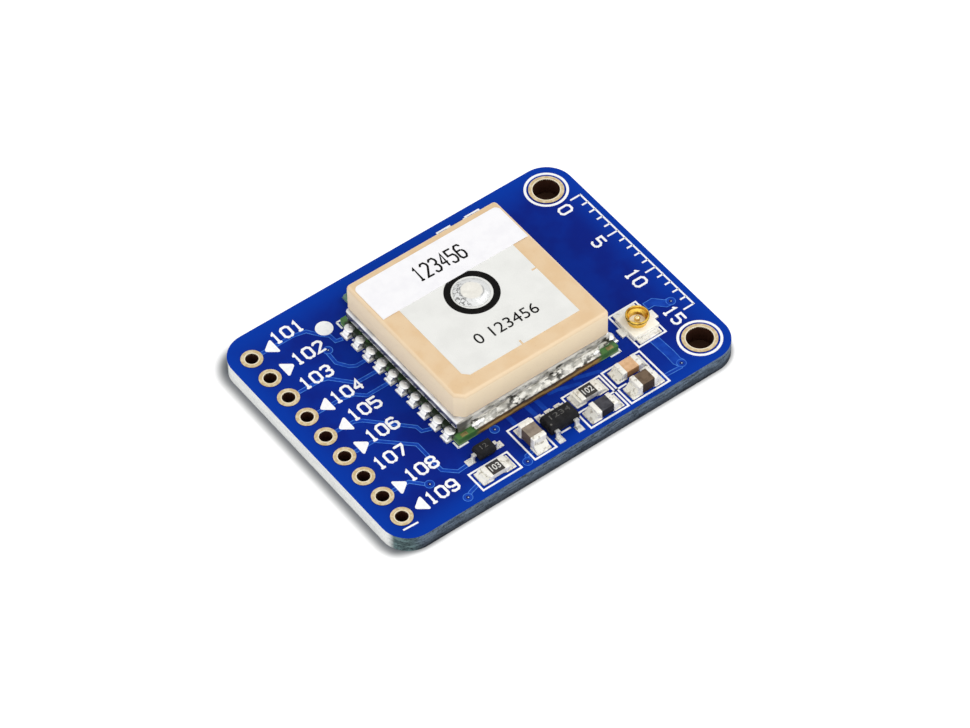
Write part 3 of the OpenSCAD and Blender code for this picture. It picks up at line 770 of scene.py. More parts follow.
def pick(piece: Object, kind: Pick, test: Callable[[Vector, Vector], bool]) -> None:
    """Selects what passes a test, in edit mode.

    Args:
        piece: What is being edited.
        kind: What is selected.
        test: Takes an item's middle and its normal, or its direction for an edge.
    """
    bpy.ops.mesh.select_mode(type=kind.value)
    bpy.ops.mesh.select_all(action="DESELECT")
    mesh = bmesh.from_edit_mesh(piece.data)
    mesh.normal_update()
    if kind is Pick.FACES:
        found = [item for item in mesh.faces if test(item.calc_center_median(), item.normal)]
    elif kind is Pick.EDGES:
        ends = [(item, item.verts[0].co, item.verts[1].co) for item in mesh.edges]
        found = [item for item, a, b in ends if test((a + b) / 2, (b - a).normalized())]
    else:
        found = [item for item in mesh.verts if test(item.co, item.normal)]
    for item in found:
        item.select_set(True)
    mesh.select_flush_mode()
    bmesh.update_edit_mesh(piece.data)


def bevel(width: float, segments: int = 1, profile: float = 0.5, affect: str = "EDGES") -> None:
    """Bevels what is selected."""
    bpy.ops.mesh.bevel(offset=width, offset_type="OFFSET", segments=segments, profile=profile, affect=affect)


def block(size: Sequence[float], middle: Sequence[float], edge: float = 0.0, segments: int = 2) -> Object:
    """Makes a block.

    Args:
        size: Its size along each axis.
        middle: Its middle.
        edge: How far its edges are rounded.
        segments: Steps in the rounding.

    Returns:
        The block.
    """
    clear()
    bpy.ops.mesh.primitive_cube_add(size=1, location=middle)
    made = bpy.context.object
    made.scale = size
    settle(made)
    return soften(made, edge, segments) if edge else made


def ball(radius: float, middle: Sequence[float], scale: Sequence[float] = (1, 1, 1)) -> Object:
    """Makes a ball, as a start for a remesh.

    Args:
        radius: Its radius.
        middle: Its middle.
        scale: How far it is stretched along each axis.

    Returns:
        The ball.
    """
    clear()
    bpy.ops.mesh.primitive_uv_sphere_add(segments=24, ring_count=14, radius=radius, location=middle)
    made = bpy.context.object
    made.scale = scale
    return settle(made)


def rod(radius: float, depth: float, middle: Sequence[float], sides: int = 40) -> Object:
    """Makes an upright round bar, as a cutter.

    Args:
        radius: Its radius.
        depth: Its height.
        middle: Its middle.
        sides: Sides.

    Returns:
        The bar.
    """
    clear()
    bpy.ops.mesh.primitive_cylinder_add(vertices=sides, radius=radius, depth=depth, location=middle)
    return settle(bpy.context.object)


def turned(profile: Sequence[tuple[float, float]], x: float, y: float, steps: int = 48,
           tube: bool = False) -> Object:
    """Turns a profile about an upright axis.

    Args:
        profile: Radius and height of each point, along the surface.
        x: Place of the axis.
        y: Place of the axis.
        steps: Sides.
        tube: Whether the last point joins the first, and not a cap on each.

    Returns:
        The turned piece.
    """
    clear()
    bpy.ops.mesh.primitive_circle_add(vertices=steps, radius=profile[0][0], location=(x, y, profile[0][1]))
    made = settle(bpy.context.object)
    with editing(made):
        bpy.ops.mesh.select_mode(type="EDGE")
        everything()
        for (radius, height), (next_radius, next_height) in zip(profile, profile[1:]):
            bpy.ops.mesh.extrude_region_move(TRANSFORM_OT_translate={"value": (0, 0, next_height - height)})
            share = next_radius / radius
            if abs(share - 1) > 1e-6:
                bpy.ops.transform.resize(value=(share, share, 1), center_override=(x, y, next_height))
        bpy.ops.mesh.select_all(action="DESELECT")
        bpy.ops.mesh.select_non_manifold()
        if tube:
            bpy.ops.mesh.bridge_edge_loops()
        else:
            everything()
            bpy.ops.mesh.fill_holes(sides=0)
        everything()
        bpy.ops.mesh.normals_make_consistent(inside=False)
    return made


def patch(x0: float, x1: float, y0: float, y1: float, z: float) -> Object:
    """Makes a flat rectangle.

    Args:
        x0: Its left side.
        x1: Its right side.
        y0: Its front.
        y1: Its back.
        z: Its height.

    Returns:
        The rectangle.
    """
    clear()
    bpy.ops.mesh.primitive_plane_add(size=1, location=((x0 + x1) / 2, (y0 + y1) / 2, z))
    made = bpy.context.object
    made.scale = (x1 - x0, y1 - y0, 1)
    return settle(made)


def hollow(piece: Object, width: float) -> Object:
    """Leaves only a border of a flat face.

    Args:
        piece: The flat piece.
        width: The border's width.

    Returns:
        The piece.
    """
    with editing(piece):
        bpy.ops.mesh.select_mode(type="FACE")
        everything()
        bpy.ops.mesh.inset(thickness=width, depth=0, use_boundary=True)
        bpy.ops.mesh.delete(type="FACE")
    return piece


def disc(x: float, y: float, radius: float, z: float, sides: int = 40) -> Object:
    """Makes a flat disc.

    Args:
        x: Its middle.
        y: Its middle.
        radius: Its radius.
        z: Its height.
        sides: Sides.

    Returns:
        The disc.
    """
    clear()
    bpy.ops.mesh.primitive_circle_add(vertices=sides, radius=radius, fill_type="NGON", location=(x, y, z))
    return settle(bpy.context.object)


def stroke(start: Sequence[float], end: Sequence[float], width: float, z: float) -> Object:
    """Makes a straight printed line."""
    return ribbon([start, end], width, z)


def ribbon(points: Sequence[Sequence[float]], width: float, z: float, rounded: bool = False) -> Object:
    """Makes a flat band along a path, mitred at its bends.

    Args:
        points: The path.
        width: The band's width.
        z: Its height.
        rounded: Whether its ends are round.

    Returns:
        The band, one face for each stretch.
    """
    clear()
    count = len(points)
    bpy.ops.mesh.primitive_grid_add(x_subdivisions=count - 1, y_subdivisions=1, size=2)
    made = bpy.context.object
    path = [Vector((p[0], p[1])) for p in points]
    with editing(made):
        mesh = bmesh.from_edit_mesh(made.data)
        for vert in mesh.verts:
            index = round((vert.co.x + 1) / 2 * (count - 1))
            before = (path[index] - path[index - 1]).normalized() if index else None
            after = (path[index + 1] - path[index]).normalized() if index < count - 1 else None
            along = ((before or after) + (after or before)).normalized()
            reach = width / 2 / max(0.5, along.dot(after or before))
            side = Vector((-along.y, along.x)) * (reach if vert.co.y > 0 else -reach)
            vert.co = (path[index].x + side.x, path[index].y + side.y, z)
        if rounded:
            for vert in mesh.verts:
                away = min((vert.co.xy - end).length for end in (path[0], path[-1]))
                vert.select_set(len(vert.link_faces) == 1 and round(away / width, 1) == 0.5)
        bmesh.update_edit_mesh(made.data)
        if rounded:
            bevel(width * 0.49, 3, affect="VERTICES")
    return made


def numerals(text: str, corner: Sequence[float], height: float, width: float = 0.0, turn: float = 0.0,
             weight: float = 0.0) -> Object:
    """Makes flat numerals.

    Args:
        text: What they say.
        corner: Where their lower left corner lies.
        height: Their height.
        width: Their whole width, or 0 for what the height gives.
        turn: Their turn about the vertical, in degrees.
        weight: How much bolder their strokes are.

    Returns:
        The numerals as one flat mesh.
    """
    clear()
    bpy.ops.object.text_add(location=(0, 0, 0))
    made = bpy.context.object
    made.data.body = text
    made.data.resolution_u = 3
    made.data.offset = weight
    bpy.ops.object.convert(target="MESH")
    made = bpy.context.object
    spots = [vert.co for vert in made.data.vertices]
    low = Vector((min(s.x for s in spots), min(s.y for s in spots), 0))
    high = Vector((max(s.x for s in spots), max(s.y for s in spots), 0))
    tall = height / (high.y - low.y)
    wide = width / (high.x - low.x) if width else tall
    made.location = -low
    settle(made)
    made.scale = (wide, tall, 1)
    made.rotation_euler = (0, 0, math.radians(turn))
    made.location = corner
    return settle(made)


TALL = 6
ADVANCE = 5.7
LAYER = 0.002
STROKES: dict[str, tuple[tuple[tuple[float, float], ...], ...]] = {
    "0": (((2, 0), (3, 0), (4, 1), (4, 5), (3, 6), (1, 6), (0, 5), (0, 1), (1, 0), (2, 0)),),
    "1": (((0.9, 4.9), (2, 6), (2, 0)), ((0.8, 0), (3.2, 0))),
    "2": (((0, 5), (1, 6), (3, 6), (4, 5), (4, 4), (0, 0), (4, 0)),),
    "3": (((0, 5), (1, 6), (3, 6), (4, 5), (4, 4), (3, 3.1), (1.5, 3.1)),
          ((3, 3.1), (4, 2.2), (4, 1), (3, 0), (1, 0), (0, 1))),
    "4": (((3, 0), (3, 6), (0, 2)), ((0, 2), (4, 2))),
    "5": (((4, 6), (0, 6), (0, 3.5), (3, 3.5), (4, 2.5), (4, 1), (3, 0), (1, 0), (0, 1)),),
    "6": (((4, 5), (3, 6), (1, 6), (0, 5), (0, 1), (1, 0), (3, 0), (4, 1), (4, 2.5), (3, 3.5)),
          ((3, 3.5), (0, 3.5))),
    "7": (((0, 6), (4, 6), (4, 5), (1.2, 0)),),
    "8": (((2, 3.1), (3, 3.1), (4, 2.2), (4, 1), (3, 0), (1, 0), (0, 1), (0, 2.2), (1, 3.1), (2, 3.1)),
          ((1, 3.1), (0, 4), (0, 5), (1, 6), (3, 6), (4, 5), (4, 4), (3, 3.1))),
    "9": (((0, 1), (1, 0), (3, 0), (4, 1), (4, 5), (3, 6), (1, 6), (0, 5), (0, 3.5), (1, 2.5)),
          ((1, 2.5), (4, 2.5))),
}


def figures(text: str, corner: Sequence[float], height: float, turn: float = 0.0, width: float = 0.2,
            squeeze: float = 1.0) -> list[Object]:
    """Makes flat figures of even strokes, as a plotter draws them.

    Args:
        text: What they say.
        corner: Where their lower left corner lies.
        height: Their height.
        turn: Their turn about the vertical, in degrees.
        width: The strokes' width.
        squeeze: How wide they are against their usual width.

    Returns:
        One band for each stroke.
    """
    unit = (height - width) / TALL
    right = (math.cos(math.radians(turn)), math.sin(math.radians(turn)))
    up = (-right[1], right[0])
    made = []
    for place, letter in enumerate(text):
        for layer, path in enumerate(STROKES[letter]):
            spots = [((u + place * ADVANCE) * unit * squeeze + width / 2, v * unit + width / 2)
                     for u, v in path]
            points = [(corner[0] + a * right[0] + b * up[0], corner[1] + a * right[1] + b * up[1])
                      for a, b in spots]
            made.append(ribbon(points, width, corner[2] + layer * LAYER, True))
    return made


def printed(shapes: Sequence[Object], thick: float) -> Object:
    """Joins flat shapes, turns them face up and thickens them.

    Args:
        shapes: The flat shapes.
        thick: Their thickness.

    Returns:
        One piece.
    """
    made = join(shapes)
    with editing(made):
        pick(made, Pick.FACES, lambda _, way: way.z < 0)
        bpy.ops.mesh.flip_normals()
    return modify(made, "SOLIDIFY", thickness=thick, offset=1.0)


def roughen(piece: Object, size: float, amount: float) -> Object:
    """Makes a surface uneven along its normals.

    Args:
        piece: What is made uneven.
        size: The size of the swells.
        amount: How far they rise.

    Returns:
        The piece.
    """
    name = f"cloud {size}"
    cloud = bpy.data.textures.get(name) or bpy.data.textures.new(name, "CLOUDS")
    cloud.noise_scale = size
    return modify(piece, "DISPLACE", texture=cloud, texture_coords="LOCAL", strength=amount, mid_level=0.5)


def melt(parts: Sequence[Object], voxel: float, rounds: int = 4) -> Object:
    """Runs several shapes together as molten metal does.

    Args:
        parts: The shapes, which overlap.
        voxel: How fine the joined surface is.
        rounds: How far it is smoothed.

    Returns:
        One closed piece.
    """
    made = join(parts)
    modify(made, "REMESH", mode="VOXEL", voxel_size=voxel)
    return modify(made, "SMOOTH", factor=0.5, iterations=rounds)


def keep(piece: Object, name: str, finish: Finish, slot: str, *nodes: str, angle: float = 40) -> Object:
    """Finishes a piece and puts it on the part.

    Args:
        piece: The modelled piece, in millimetres.
        name: Its name.
        finish: Its finish.
        slot: The record's material slot; not used.
        *nodes: The solids that it stands for.
        angle: Edges sharper than this stay sharp.

    Returns:
        The piece in metres.
    """
    piece.scale = (MM, MM, MM)
    settle(piece)
    piece.name = piece.data.name = name
    piece.data.materials.clear()
    piece.data.materials.append(finish.material())
    choose(piece)
    bpy.ops.object.shade_smooth_by_angle(angle=math.radians(angle))
    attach(piece, "root")
    if nodes:
        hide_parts(*nodes)
    LOG.info("piece %s with %d faces", name, len(piece.data.polygons))
    return piece


def dress(finish: Finish, *nodes: str) -> None:
    """Gives solids that stay in view their finish.

    Args:
        finish: The finish.
        *nodes: The solids.
    """
    for node in nodes:
        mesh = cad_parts[node].data
        mesh.materials.clear()
        mesh.materials.append(finish.material())
        LOG.info("solid %s in %s", node, finish.name)


class Assembly:
    """One sub-assembly, which makes its pieces and dresses the solids that stay."""

    def build(self) -> None:
        """Makes the pieces."""
        raise NotImplementedError

    def dress(self) -> None:
        """Dresses nothing, unless solids of the sub-assembly stay in view."""


@dataclass
class BareBoard(Assembly):
    """The blue board with its plated holes, traces and printed legend."""

    top: float = 1.6
    ink: float = 0.03
    line: float = 0.16
    trace: float = 0.36
    copper: float = 0.014
    rim: float = 0.06
    rimmed: int = 12
    layer: float = 0.0003
    pitch: float = 2.54
    header_x: float = -15.25
    bore: float = 0.55
    mount_bore: float = 1.15
    mount_ring: tuple[float, float] = (1.89, 0.22)
    lip: tuple[tuple[float, float], ...] = (
        (0, -0.1), (0, 0.004), (0.03, 0.014), (0.09, 0.006), (0.11, -0.05))
    figure: tuple[float, float] = (1.32, 0.22)
    arrow_x: float = -13.42
    arrow_spots: tuple[tuple[float, float], ...] = ((0.62, 0), (-0.5, 0.85), (-0.5, -0.85))
    first_pad: tuple[float, float, float] = (-8.75, 9.22, 0.75)
    pads_middle: float = 0.75
    pads_pitch: float = 1.5
    pad_mark: tuple[float, float] = (0.1, 0.12)
    via_rim: float = 0.42
    scale_x: float = 16.5
    scale_zero: float = 8.0
    scale_line: float = 0.15
    scale_ends: tuple[float, float] = (-7.06, 8.06)
    scale_marks: tuple[float, float] = (1.05, 0.6)
    scale_figures: tuple[tuple[int, float], ...] = ((0, -0.1), (5, 0.42), (10, 1.0), (15, 1.0))
    scale_foot: float = 13.85
    scale_tall: float = 1.3
    rows: tuple[tuple[str, float, float], ...] = (
        ("9", -12.8, -10.75), ("8", -12.7, -7.9), ("7", -13.95, -5.45), ("6", -12.8, -2.8),
        ("5", -12.65, -0.2), ("4", -12.7, 2.1), ("3", -13.8, 4.8), ("2", -12.8, 7.25), ("1", -12.9, 10.1))
    mounts: tuple[tuple[float, float], ...] = ((14.61, 10.16), (14.61, -10.16))
    arrows: dict[int, Apex] = field(default_factory=lambda: {
        8: Apex.OUT, 7: Apex.IN, 5: Apex.OUT, 4: Apex.OUT, 3: Apex.IN, 1: Apex.IN, 0: Apex.OUT})
    boxes: tuple[tuple[float, float, float, float], ...] = (
        (-8.7, -4.75, -12.07, -9.95), (-3.6, -1.32, -12.1, -8.28), (1.88, 5.82, -12.27, -8.25),
        (5.97, 9.98, -12.25, -8.17), (10.05, 12.97, -8.0, -3.87))
    brackets: tuple[tuple[float, float], ...] = ((5.95, 4.6), (7.42, 8.83))
    bracket_ends: tuple[float, float] = (11.86, 9.7)
    lines: tuple[tuple[float, float, float, float], ...] = (
        (1.88, -10.36, 5.82, -10.36), (5.97, -10.3, 7.0, -10.3), (-0.25, -11.12, 0.7, -11.12),
        (-15.97, -11.33, -14.57, -11.4))
    vias: tuple[tuple[float, float], ...] = (
        (15.2, -5.65), (11.81, -11.3), (-4.11, -11.8), (-10.0, -11.8), (-11.6, -8.9), (-9.86, 7.17),
        (-4.2, -7.6))

    def traces(self) -> list[tuple[float, list[tuple[float, float]]]]:
        """Gives the traces that show on the top side.

        Returns:
            Each trace's width and path.
        """
        fine = self.trace
        return [
            (fine, [(-14.3, 10.16), (-11.2, 10.12), (-10.1, 9.85), (-9.44, 8.91), (-8.86, 8.3), (-8.8, 7.55),
                    (-8.2, 7.4)]),
            (fine, [(-9.86, 7.17), (-10.05, 6.9), (-10.12, 5.7), (-9.5, 4.75), (-9.0, 4.45), (-8.1, 4.45)]),
            (fine, [(-14.3, 5.02), (-12.3, 4.97), (-11.6, 4.76), (-10.05, 3.02), (-8.1, 2.98)]),
            (fine, [(-14.4, 2.4), (-12.0, 2.38), (-10.9, 2.13), (-10.15, 1.42), (-8.1, 1.42)]),
            (fine, [(-14.3, -0.06), (-12.6, -0.12), (-11.97, -0.45), (-8.95, -3.6), (-8.88, -4.2),
                    (-8.1, -4.5)]),
            (fine, [(-14.3, -2.66), (-12.46, -2.69), (-10.0, -5.08), (-10.0, -8.35), (-9.05, -9.25),
                    (-7.6, -9.15)]),
            (fine, [(-14.3, -7.66), (-12.75, -7.7), (-11.9, -8.67), (-11.6, -8.9)]),
            (fine, [(-10.0, -11.8), (-9.5, -11.5), (-8.4, -11.2)]),
            (fine, [(-4.11, -11.8), (-3.8, -11.3), (-3.0, -11.2)]),
            (0.9, [(11.6, -7.7), (11.7, -9.9), (11.65, -10.9), (11.81, -11.3)]),
            (fine, [(11.81, -11.3), (11.5, -11.6), (9.6, -11.5)]),
            (0.8, [(13.2, -4.85), (14.0, -4.85), (14.72, -5.6), (15.2, -5.65)]),
            (0.44, [(-2.6, -7.2), (-2.6, -8.5)]),
            (0.44, [(-0.78, -7.2), (-0.72, -8.7)]),
            (0.44, [(0.2, -7.2), (0.26, -8.7)]),
            (fine, [(1.3, -7.3), (2.2, -7.42), (4.06, -8.01), (4.06, -8.5)]),
            (fine, [(3.9, -7.3), (4.5, -7.48), (6.03, -7.96), (6.4, -8.4)]),
        ]

    def build(self) -> None:
        """Makes the traces, the vias and the legend."""
        keep(printed(self.bands(), self.copper), "traces", MASK_TRACE, "board_mask")
        # The trace and via edges are a painted highlight.
        rims = [hollow(band, self.rim) for band in self.bands(self.rimmed)]
        rims += [hollow(disc(x, y, self.via_rim, self.top), self.rim) for x, y in self.vias]
        keep(printed(rims, self.copper + 0.004), "trace_edges", MASK_EDGE, "board_mask")
        # The via glints are a painted highlight in each via.
        for name, finish, radius, sides, lift, (dx, dy) in (
                ("via_lands", MASK_TRACE, 0.36, 40, 0.01, (0, 0)),
                ("via_hollows", VIA_SHADE, 0.16, 20, 0.014, (0, 0)),
                ("painted_via_glints", VIA_GLINT, 0.055, 12, 0.018, (0.02, -0.03))):
            spots = [disc(x + dx, y + dy, radius, self.top, sides) for x, y in self.vias]
            keep(printed(spots, self.copper + lift), name, finish, "board_mask")
        keep(printed(self.legend(), self.ink), "legend", SILK, "label_paper")
        self.lips()

    def bands(self, count: int | None = None) -> list[Object]:
        """Makes the first traces, or all, each a little above the last."""
        return [ribbon(path, width, self.top + step * self.layer)
                for step, (width, path) in enumerate(self.traces()[:count])]

    def row_y(self, row: int) -> float:
        """Gives the place of a header hole along the board's side."""
        return (row - 4) * self.pitch

    def lips(self) -> None:
        """Makes the lip at the mouth of each plated barrel, pale as a painted highlight."""
        z = span("header_eyelets")[1].z
        spots = [(self.header_x, self.row_y(row), self.bore) for row in range(len(self.rows))]
        spots += [(x, y, self.mount_bore) for x, y in self.mounts]
        lips = [turned([(bore + out, z + rise) for out, rise in self.lip], x, y, tube=True)
                for x, y, bore in spots]
        keep(join(lips), "barrel_lips", BARREL_LIP_HIGHLIGHT, "gold_plating")

    def legend(self) -> list[Object]:
        """Gives every printed shape, still flat.

        Returns:
            Frames, lines, rings, arrows, numerals and a scale.
        """
        z, line = self.top, self.line
        radius, ring = self.mount_ring
        back, front = self.bracket_ends
        shapes = [hollow(patch(*edges, z), line) for edges in self.boxes]
        shapes += [stroke((a, b), (c, d), line, z) for a, b, c, d in self.lines]
        shapes += [hollow(disc(x, y, radius, z, 56), ring) for x, y in self.mounts]
        shapes += [ribbon([(inner, back), (outer, back), (outer, front), (inner, front)], line, z)
                   for inner, outer in self.brackets]
        shapes += self.module_outline()
        tall, bold = self.figure
        for row, (digit, start, foot) in enumerate(self.rows):
            if row in self.arrows:
                shapes.append(self.arrow(self.row_y(row), self.arrows[row]))
            shapes += figures("10" + digit, (start, foot, z), tall, width=bold)
        return shapes + self.scale()

    def arrow(self, y: float, apex: Apex) -> Object:
        """Makes one rounded arrow beside a header hole.

        Args:
            y: The hole's place.
            apex: Which way the arrow points.

        Returns:
            The arrow.
        """
        made = disc(0, 0, 1, self.top, 3)
        with editing(made):
            mesh = bmesh.from_edit_mesh(made.data)
            for vert, (out, side) in zip(mesh.verts, self.arrow_spots):
                vert.co = (self.arrow_x + out * apex.value, y + side, self.top)
            bmesh.update_edit_mesh(made.data)
            everything()
            bevel(0.27, 5, affect="VERTICES")
        return made

    def module_outline(self) -> list[Object]:
        """Makes the prints round the module.

        Returns:
            The first pad's dot, the corner marks and the marks between pads.
        """
        z = self.top
        wide, tall = self.pad_mark
        low, high = span("module_board")
        left, right, front, back = low.x - 0.15, high.x + 0.15, low.y - 0.1, high.y + 0.35
        marks = [disc(*self.first_pad, z)]
        for x, inward in ((left, 1), (right, -1)):
            for start, end in (((x, front - 0.06), (x, front + 0.7)), ((x, front), (x + inward, front)),
                               ((x, back), (x, back - 0.8)), ((x, back), (x + inward, back))):
                marks.append(stroke(start, end, self.line, z))
            for step in range(-4, 5):
                y = self.pads_middle + step * self.pads_pitch
                marks.append(patch(x - wide, x + wide, y - tall, y + tall, z))
        return marks

    def scale(self) -> list[Object]:
        """Makes a plain millimetre scale along the far end.

        Returns:
            Its line, its marks and its figures.
        """
        x, zero, line, z = self.scale_x, self.scale_zero, self.scale_line, self.top
        low, high = self.scale_ends
        marks = [stroke((x, low), (x, high), line, z)]
        for step in range(16):
            reach = self.scale_marks[0 if step % 5 == 0 else 1]
            marks.append(stroke((x - reach, zero - step), (x, zero - step), line, z))
        for value, shift in self.scale_figures:
            marks += figures(str(value), (self.scale_foot, zero - value + shift, z), self.scale_tall, -90)
        return marks

    def dress(self) -> None:
        """Gives the board and its plating their finish."""
        low, high = span("main_board")
        dress(BoardMask("board lacquer", high.x - low.x, high.y - low.y), "main_board")
        dress(Plating("hole plating"), "header_eyelets", "mount_eyelets")
        dress(TINNED, "lands")


@dataclass
class ReceiverModule(Assembly):
    """The shielded receiver on its carrier, soldered along both sides."""

    pitch: float = 1.5
    rows: int = 10
    blob: float = 0.52
    blob_sink: float = 0.08
    blob_shape: tuple[float, float, float] = (0.96, 1.0, 0.42)
    neck: float = 0.62
    neck_round: float = 0.5
    foot: tuple[float, float, float] = (0.66, 0.92, 0.13)
    foot_flare: float = 1.12
    dimple: float = 0.36
    dimple_spot: tuple[float, float, float] = (-0.06, 0.03, 0.418)
    voxel: float = 0.05
    bead_voxel: float = 0.07
    bead_thick: float = 0.58
    tip: float = 0.28
    can_corner: float = 0.4
    can_round: float = 0.24
    sheet: float = 0.2
    opening: tuple[float, float, float] = (1.54, 14.64, 0.75)
    hood_gap: float = 0.5
    feed_hole: float = 0.85
    pad: tuple[float, float, float] = (0.62, 0.36, 0.03)
    pads: tuple[float, float] = (0.7, 15.3)

    def build(self) -> None:
        """Makes the can, its solder and the joints of the carrier."""
        self.can()
        self.joints()
        self.beads()
        low, high = span("module_board")
        pads = [block(self.pad, (low.x + x, low.y + 0.26, high.z + 0.005), 0.012) for x in self.pads]
        keep(join(pads), "ledge_pads", LEDGE_PAD, "gold_plating")

    def can(self) -> None:
        """Makes the drawn can with round edges, its side openings and the antenna's feed hole."""
        low, high = span("shield_can")
        size = high - low
        made = block(size, (low + high) / 2)
        with editing(made):
            pick(made, Pick.EDGES, lambda _, way: abs(way.z) > 0.9)
            bevel(self.can_corner, 5)
            pick(made, Pick.EDGES, lambda at, _: at.z > high.z - 0.01)
            bevel(self.can_round, 5)
            pick(made, Pick.FACES, lambda _, way: way.z < -0.9)
            bpy.ops.mesh.inset(thickness=self.sheet)
            bpy.ops.mesh.extrude_region_move(TRANSFORM_OT_translate={"value": (0, 0, size.z - self.sheet)})
        across, along, y = self.opening
        cuts = [block((across, along, self.hood_gap * 2), (side.x, y, low.z))
                for side in span("module_board")]
        feed_x, feed_y, _ = centre("feed_pin")
        cuts.append(rod(self.feed_hole, 2.0, (feed_x, feed_y, high.z)))
        cut(made, join(cuts))
        keep(made, "drawn_can", TinSheet("can sheet", low.y, low.x), "tin_sheet", "shield_can")

    def joint(self, deep: float) -> Object:
        """Makes one joint of melted solder at the origin.

        Args:
            deep: The carrier's thickness.

        Returns:
            The joint, with its land towards +X.
        """
        sunk = deep - self.blob_sink
        crown = ball(self.blob, (-0.04, 0, sunk), self.blob_shape)
        with editing(crown):
            everything()
            bpy.ops.mesh.bisect(plane_co=(0, 0, sunk), plane_no=(0, 0, 1), clear_inner=True, use_fill=True)
        neck = block((self.neck, self.neck, deep), (0.24, 0, deep / 2))
        with editing(neck):
            pick(neck, Pick.EDGES, lambda at, way: abs(way.y) > 0.9 and at.x > 0.5 and at.z > deep * 0.9)
            bevel(self.neck_round, 5, 0.32)
        foot = block(self.foot, (self.foot[0] / 2, 0, self.foot[2] / 2), 0.04)
        with editing(foot):
            pick(foot, Pick.FACES, lambda _, way: way.x > 0.9)
            bpy.ops.transform.resize(value=(1, self.foot_flare, 1), center_override=(0, 0, 0))
        floor = block((3, 3, 1), (0, 0, -0.5))
        x, y, rise = self.dimple_spot
        dimple = ball(self.dimple, (x, y, deep + rise), (1, 1, 0.85))
        made = melt([crown, neck, foot], self.voxel, 3)
        return cut(made, floor, dimple)

    def joints(self) -> None:
        """Sets joints along both sides of the carrier, each a little different."""
        low, high = span("module_board")
        seat = low.z
        made = self.joint(high.z - seat)
        luck = random.Random(11)
        copies = []
        for step in range(self.rows):
            y = (low.y + high.y) / 2 + (step - (self.rows - 1) / 2) * self.pitch
            for x, turn in ((low.x, 180), (high.x, 0)):
                scale = [luck.uniform(0.94, 1.04), luck.uniform(0.93, 1.05), luck.uniform(0.95, 1.04)]
                copies.append(copy(made, (x, y, seat), turn + luck.uniform(-4, 4), scale))
        drop(made)
        keep(join(copies), "carrier_joints", SOLDER, "solder", "module_joints", angle=60)

    def beads(self) -> None:
        """Makes the two runs of solder along the can's foot, thicker at their ends."""
        low, high = span("can_solder")
        can_low, can_high = span("shield_can")
        deep = (high.z - low.z) * 0.9
        made, tips = [], []
        for face, reach in ((can_low.y, low.y - can_low.y), (can_high.y, high.y - can_high.y)):
            way = math.copysign(1, reach)
            thick = min(abs(reach) * 1.2, self.bead_thick)
            middle = ((low.x + high.x) / 2, face + way * thick / 2, low.z + deep / 2)
            run = block((high.x - low.x, thick, deep), middle)
            with editing(run):
                pick(run, Pick.EDGES, lambda at, line: abs(line.x) > 0.9 and at.z > low.z + 0.1
                     and (at.y - face) * way > thick * 0.9)
                bevel(thick * 0.85, 6, 0.22)
                everything()
                bpy.ops.mesh.subdivide(number_cuts=6)
            made.append(roughen(melt([run], self.bead_voxel, 2), 0.28, 0.06))
            if thick > 0.3:
                tips += [ball(self.tip, (x, face + way * 0.2, low.z + 0.2), (long, 0.9, 0.9))
                         for x, long in ((low.x + 0.4, 1.9), (low.x + 0.9, 1.2), (high.x - 0.35, 1.5))]
        tin = TinSheet("can sheet", can_low.y, can_low.x)
        keep(join(made), "can_beads", tin, "solder", "can_solder", angle=60)
        keep(roughen(melt(tips, self.voxel, 2), 0.3, 0.12), "bead_tips", SOLDER, "solder", angle=60)

    def dress(self) -> None:
        """Gives the carrier and what is inside the can their finish."""
        front = span("module_board")[0].y
        dress(CarrierLaminate("carrier laminate", centre("module_board")[0], front), "module_board")
        dress(MOULD, "receiver_chip", "amplifier_chip")
        dress(CHIP, "rf_filter")
        dress(LEAD, "crystal")
        dress(CAP_TAN, "module_passives")


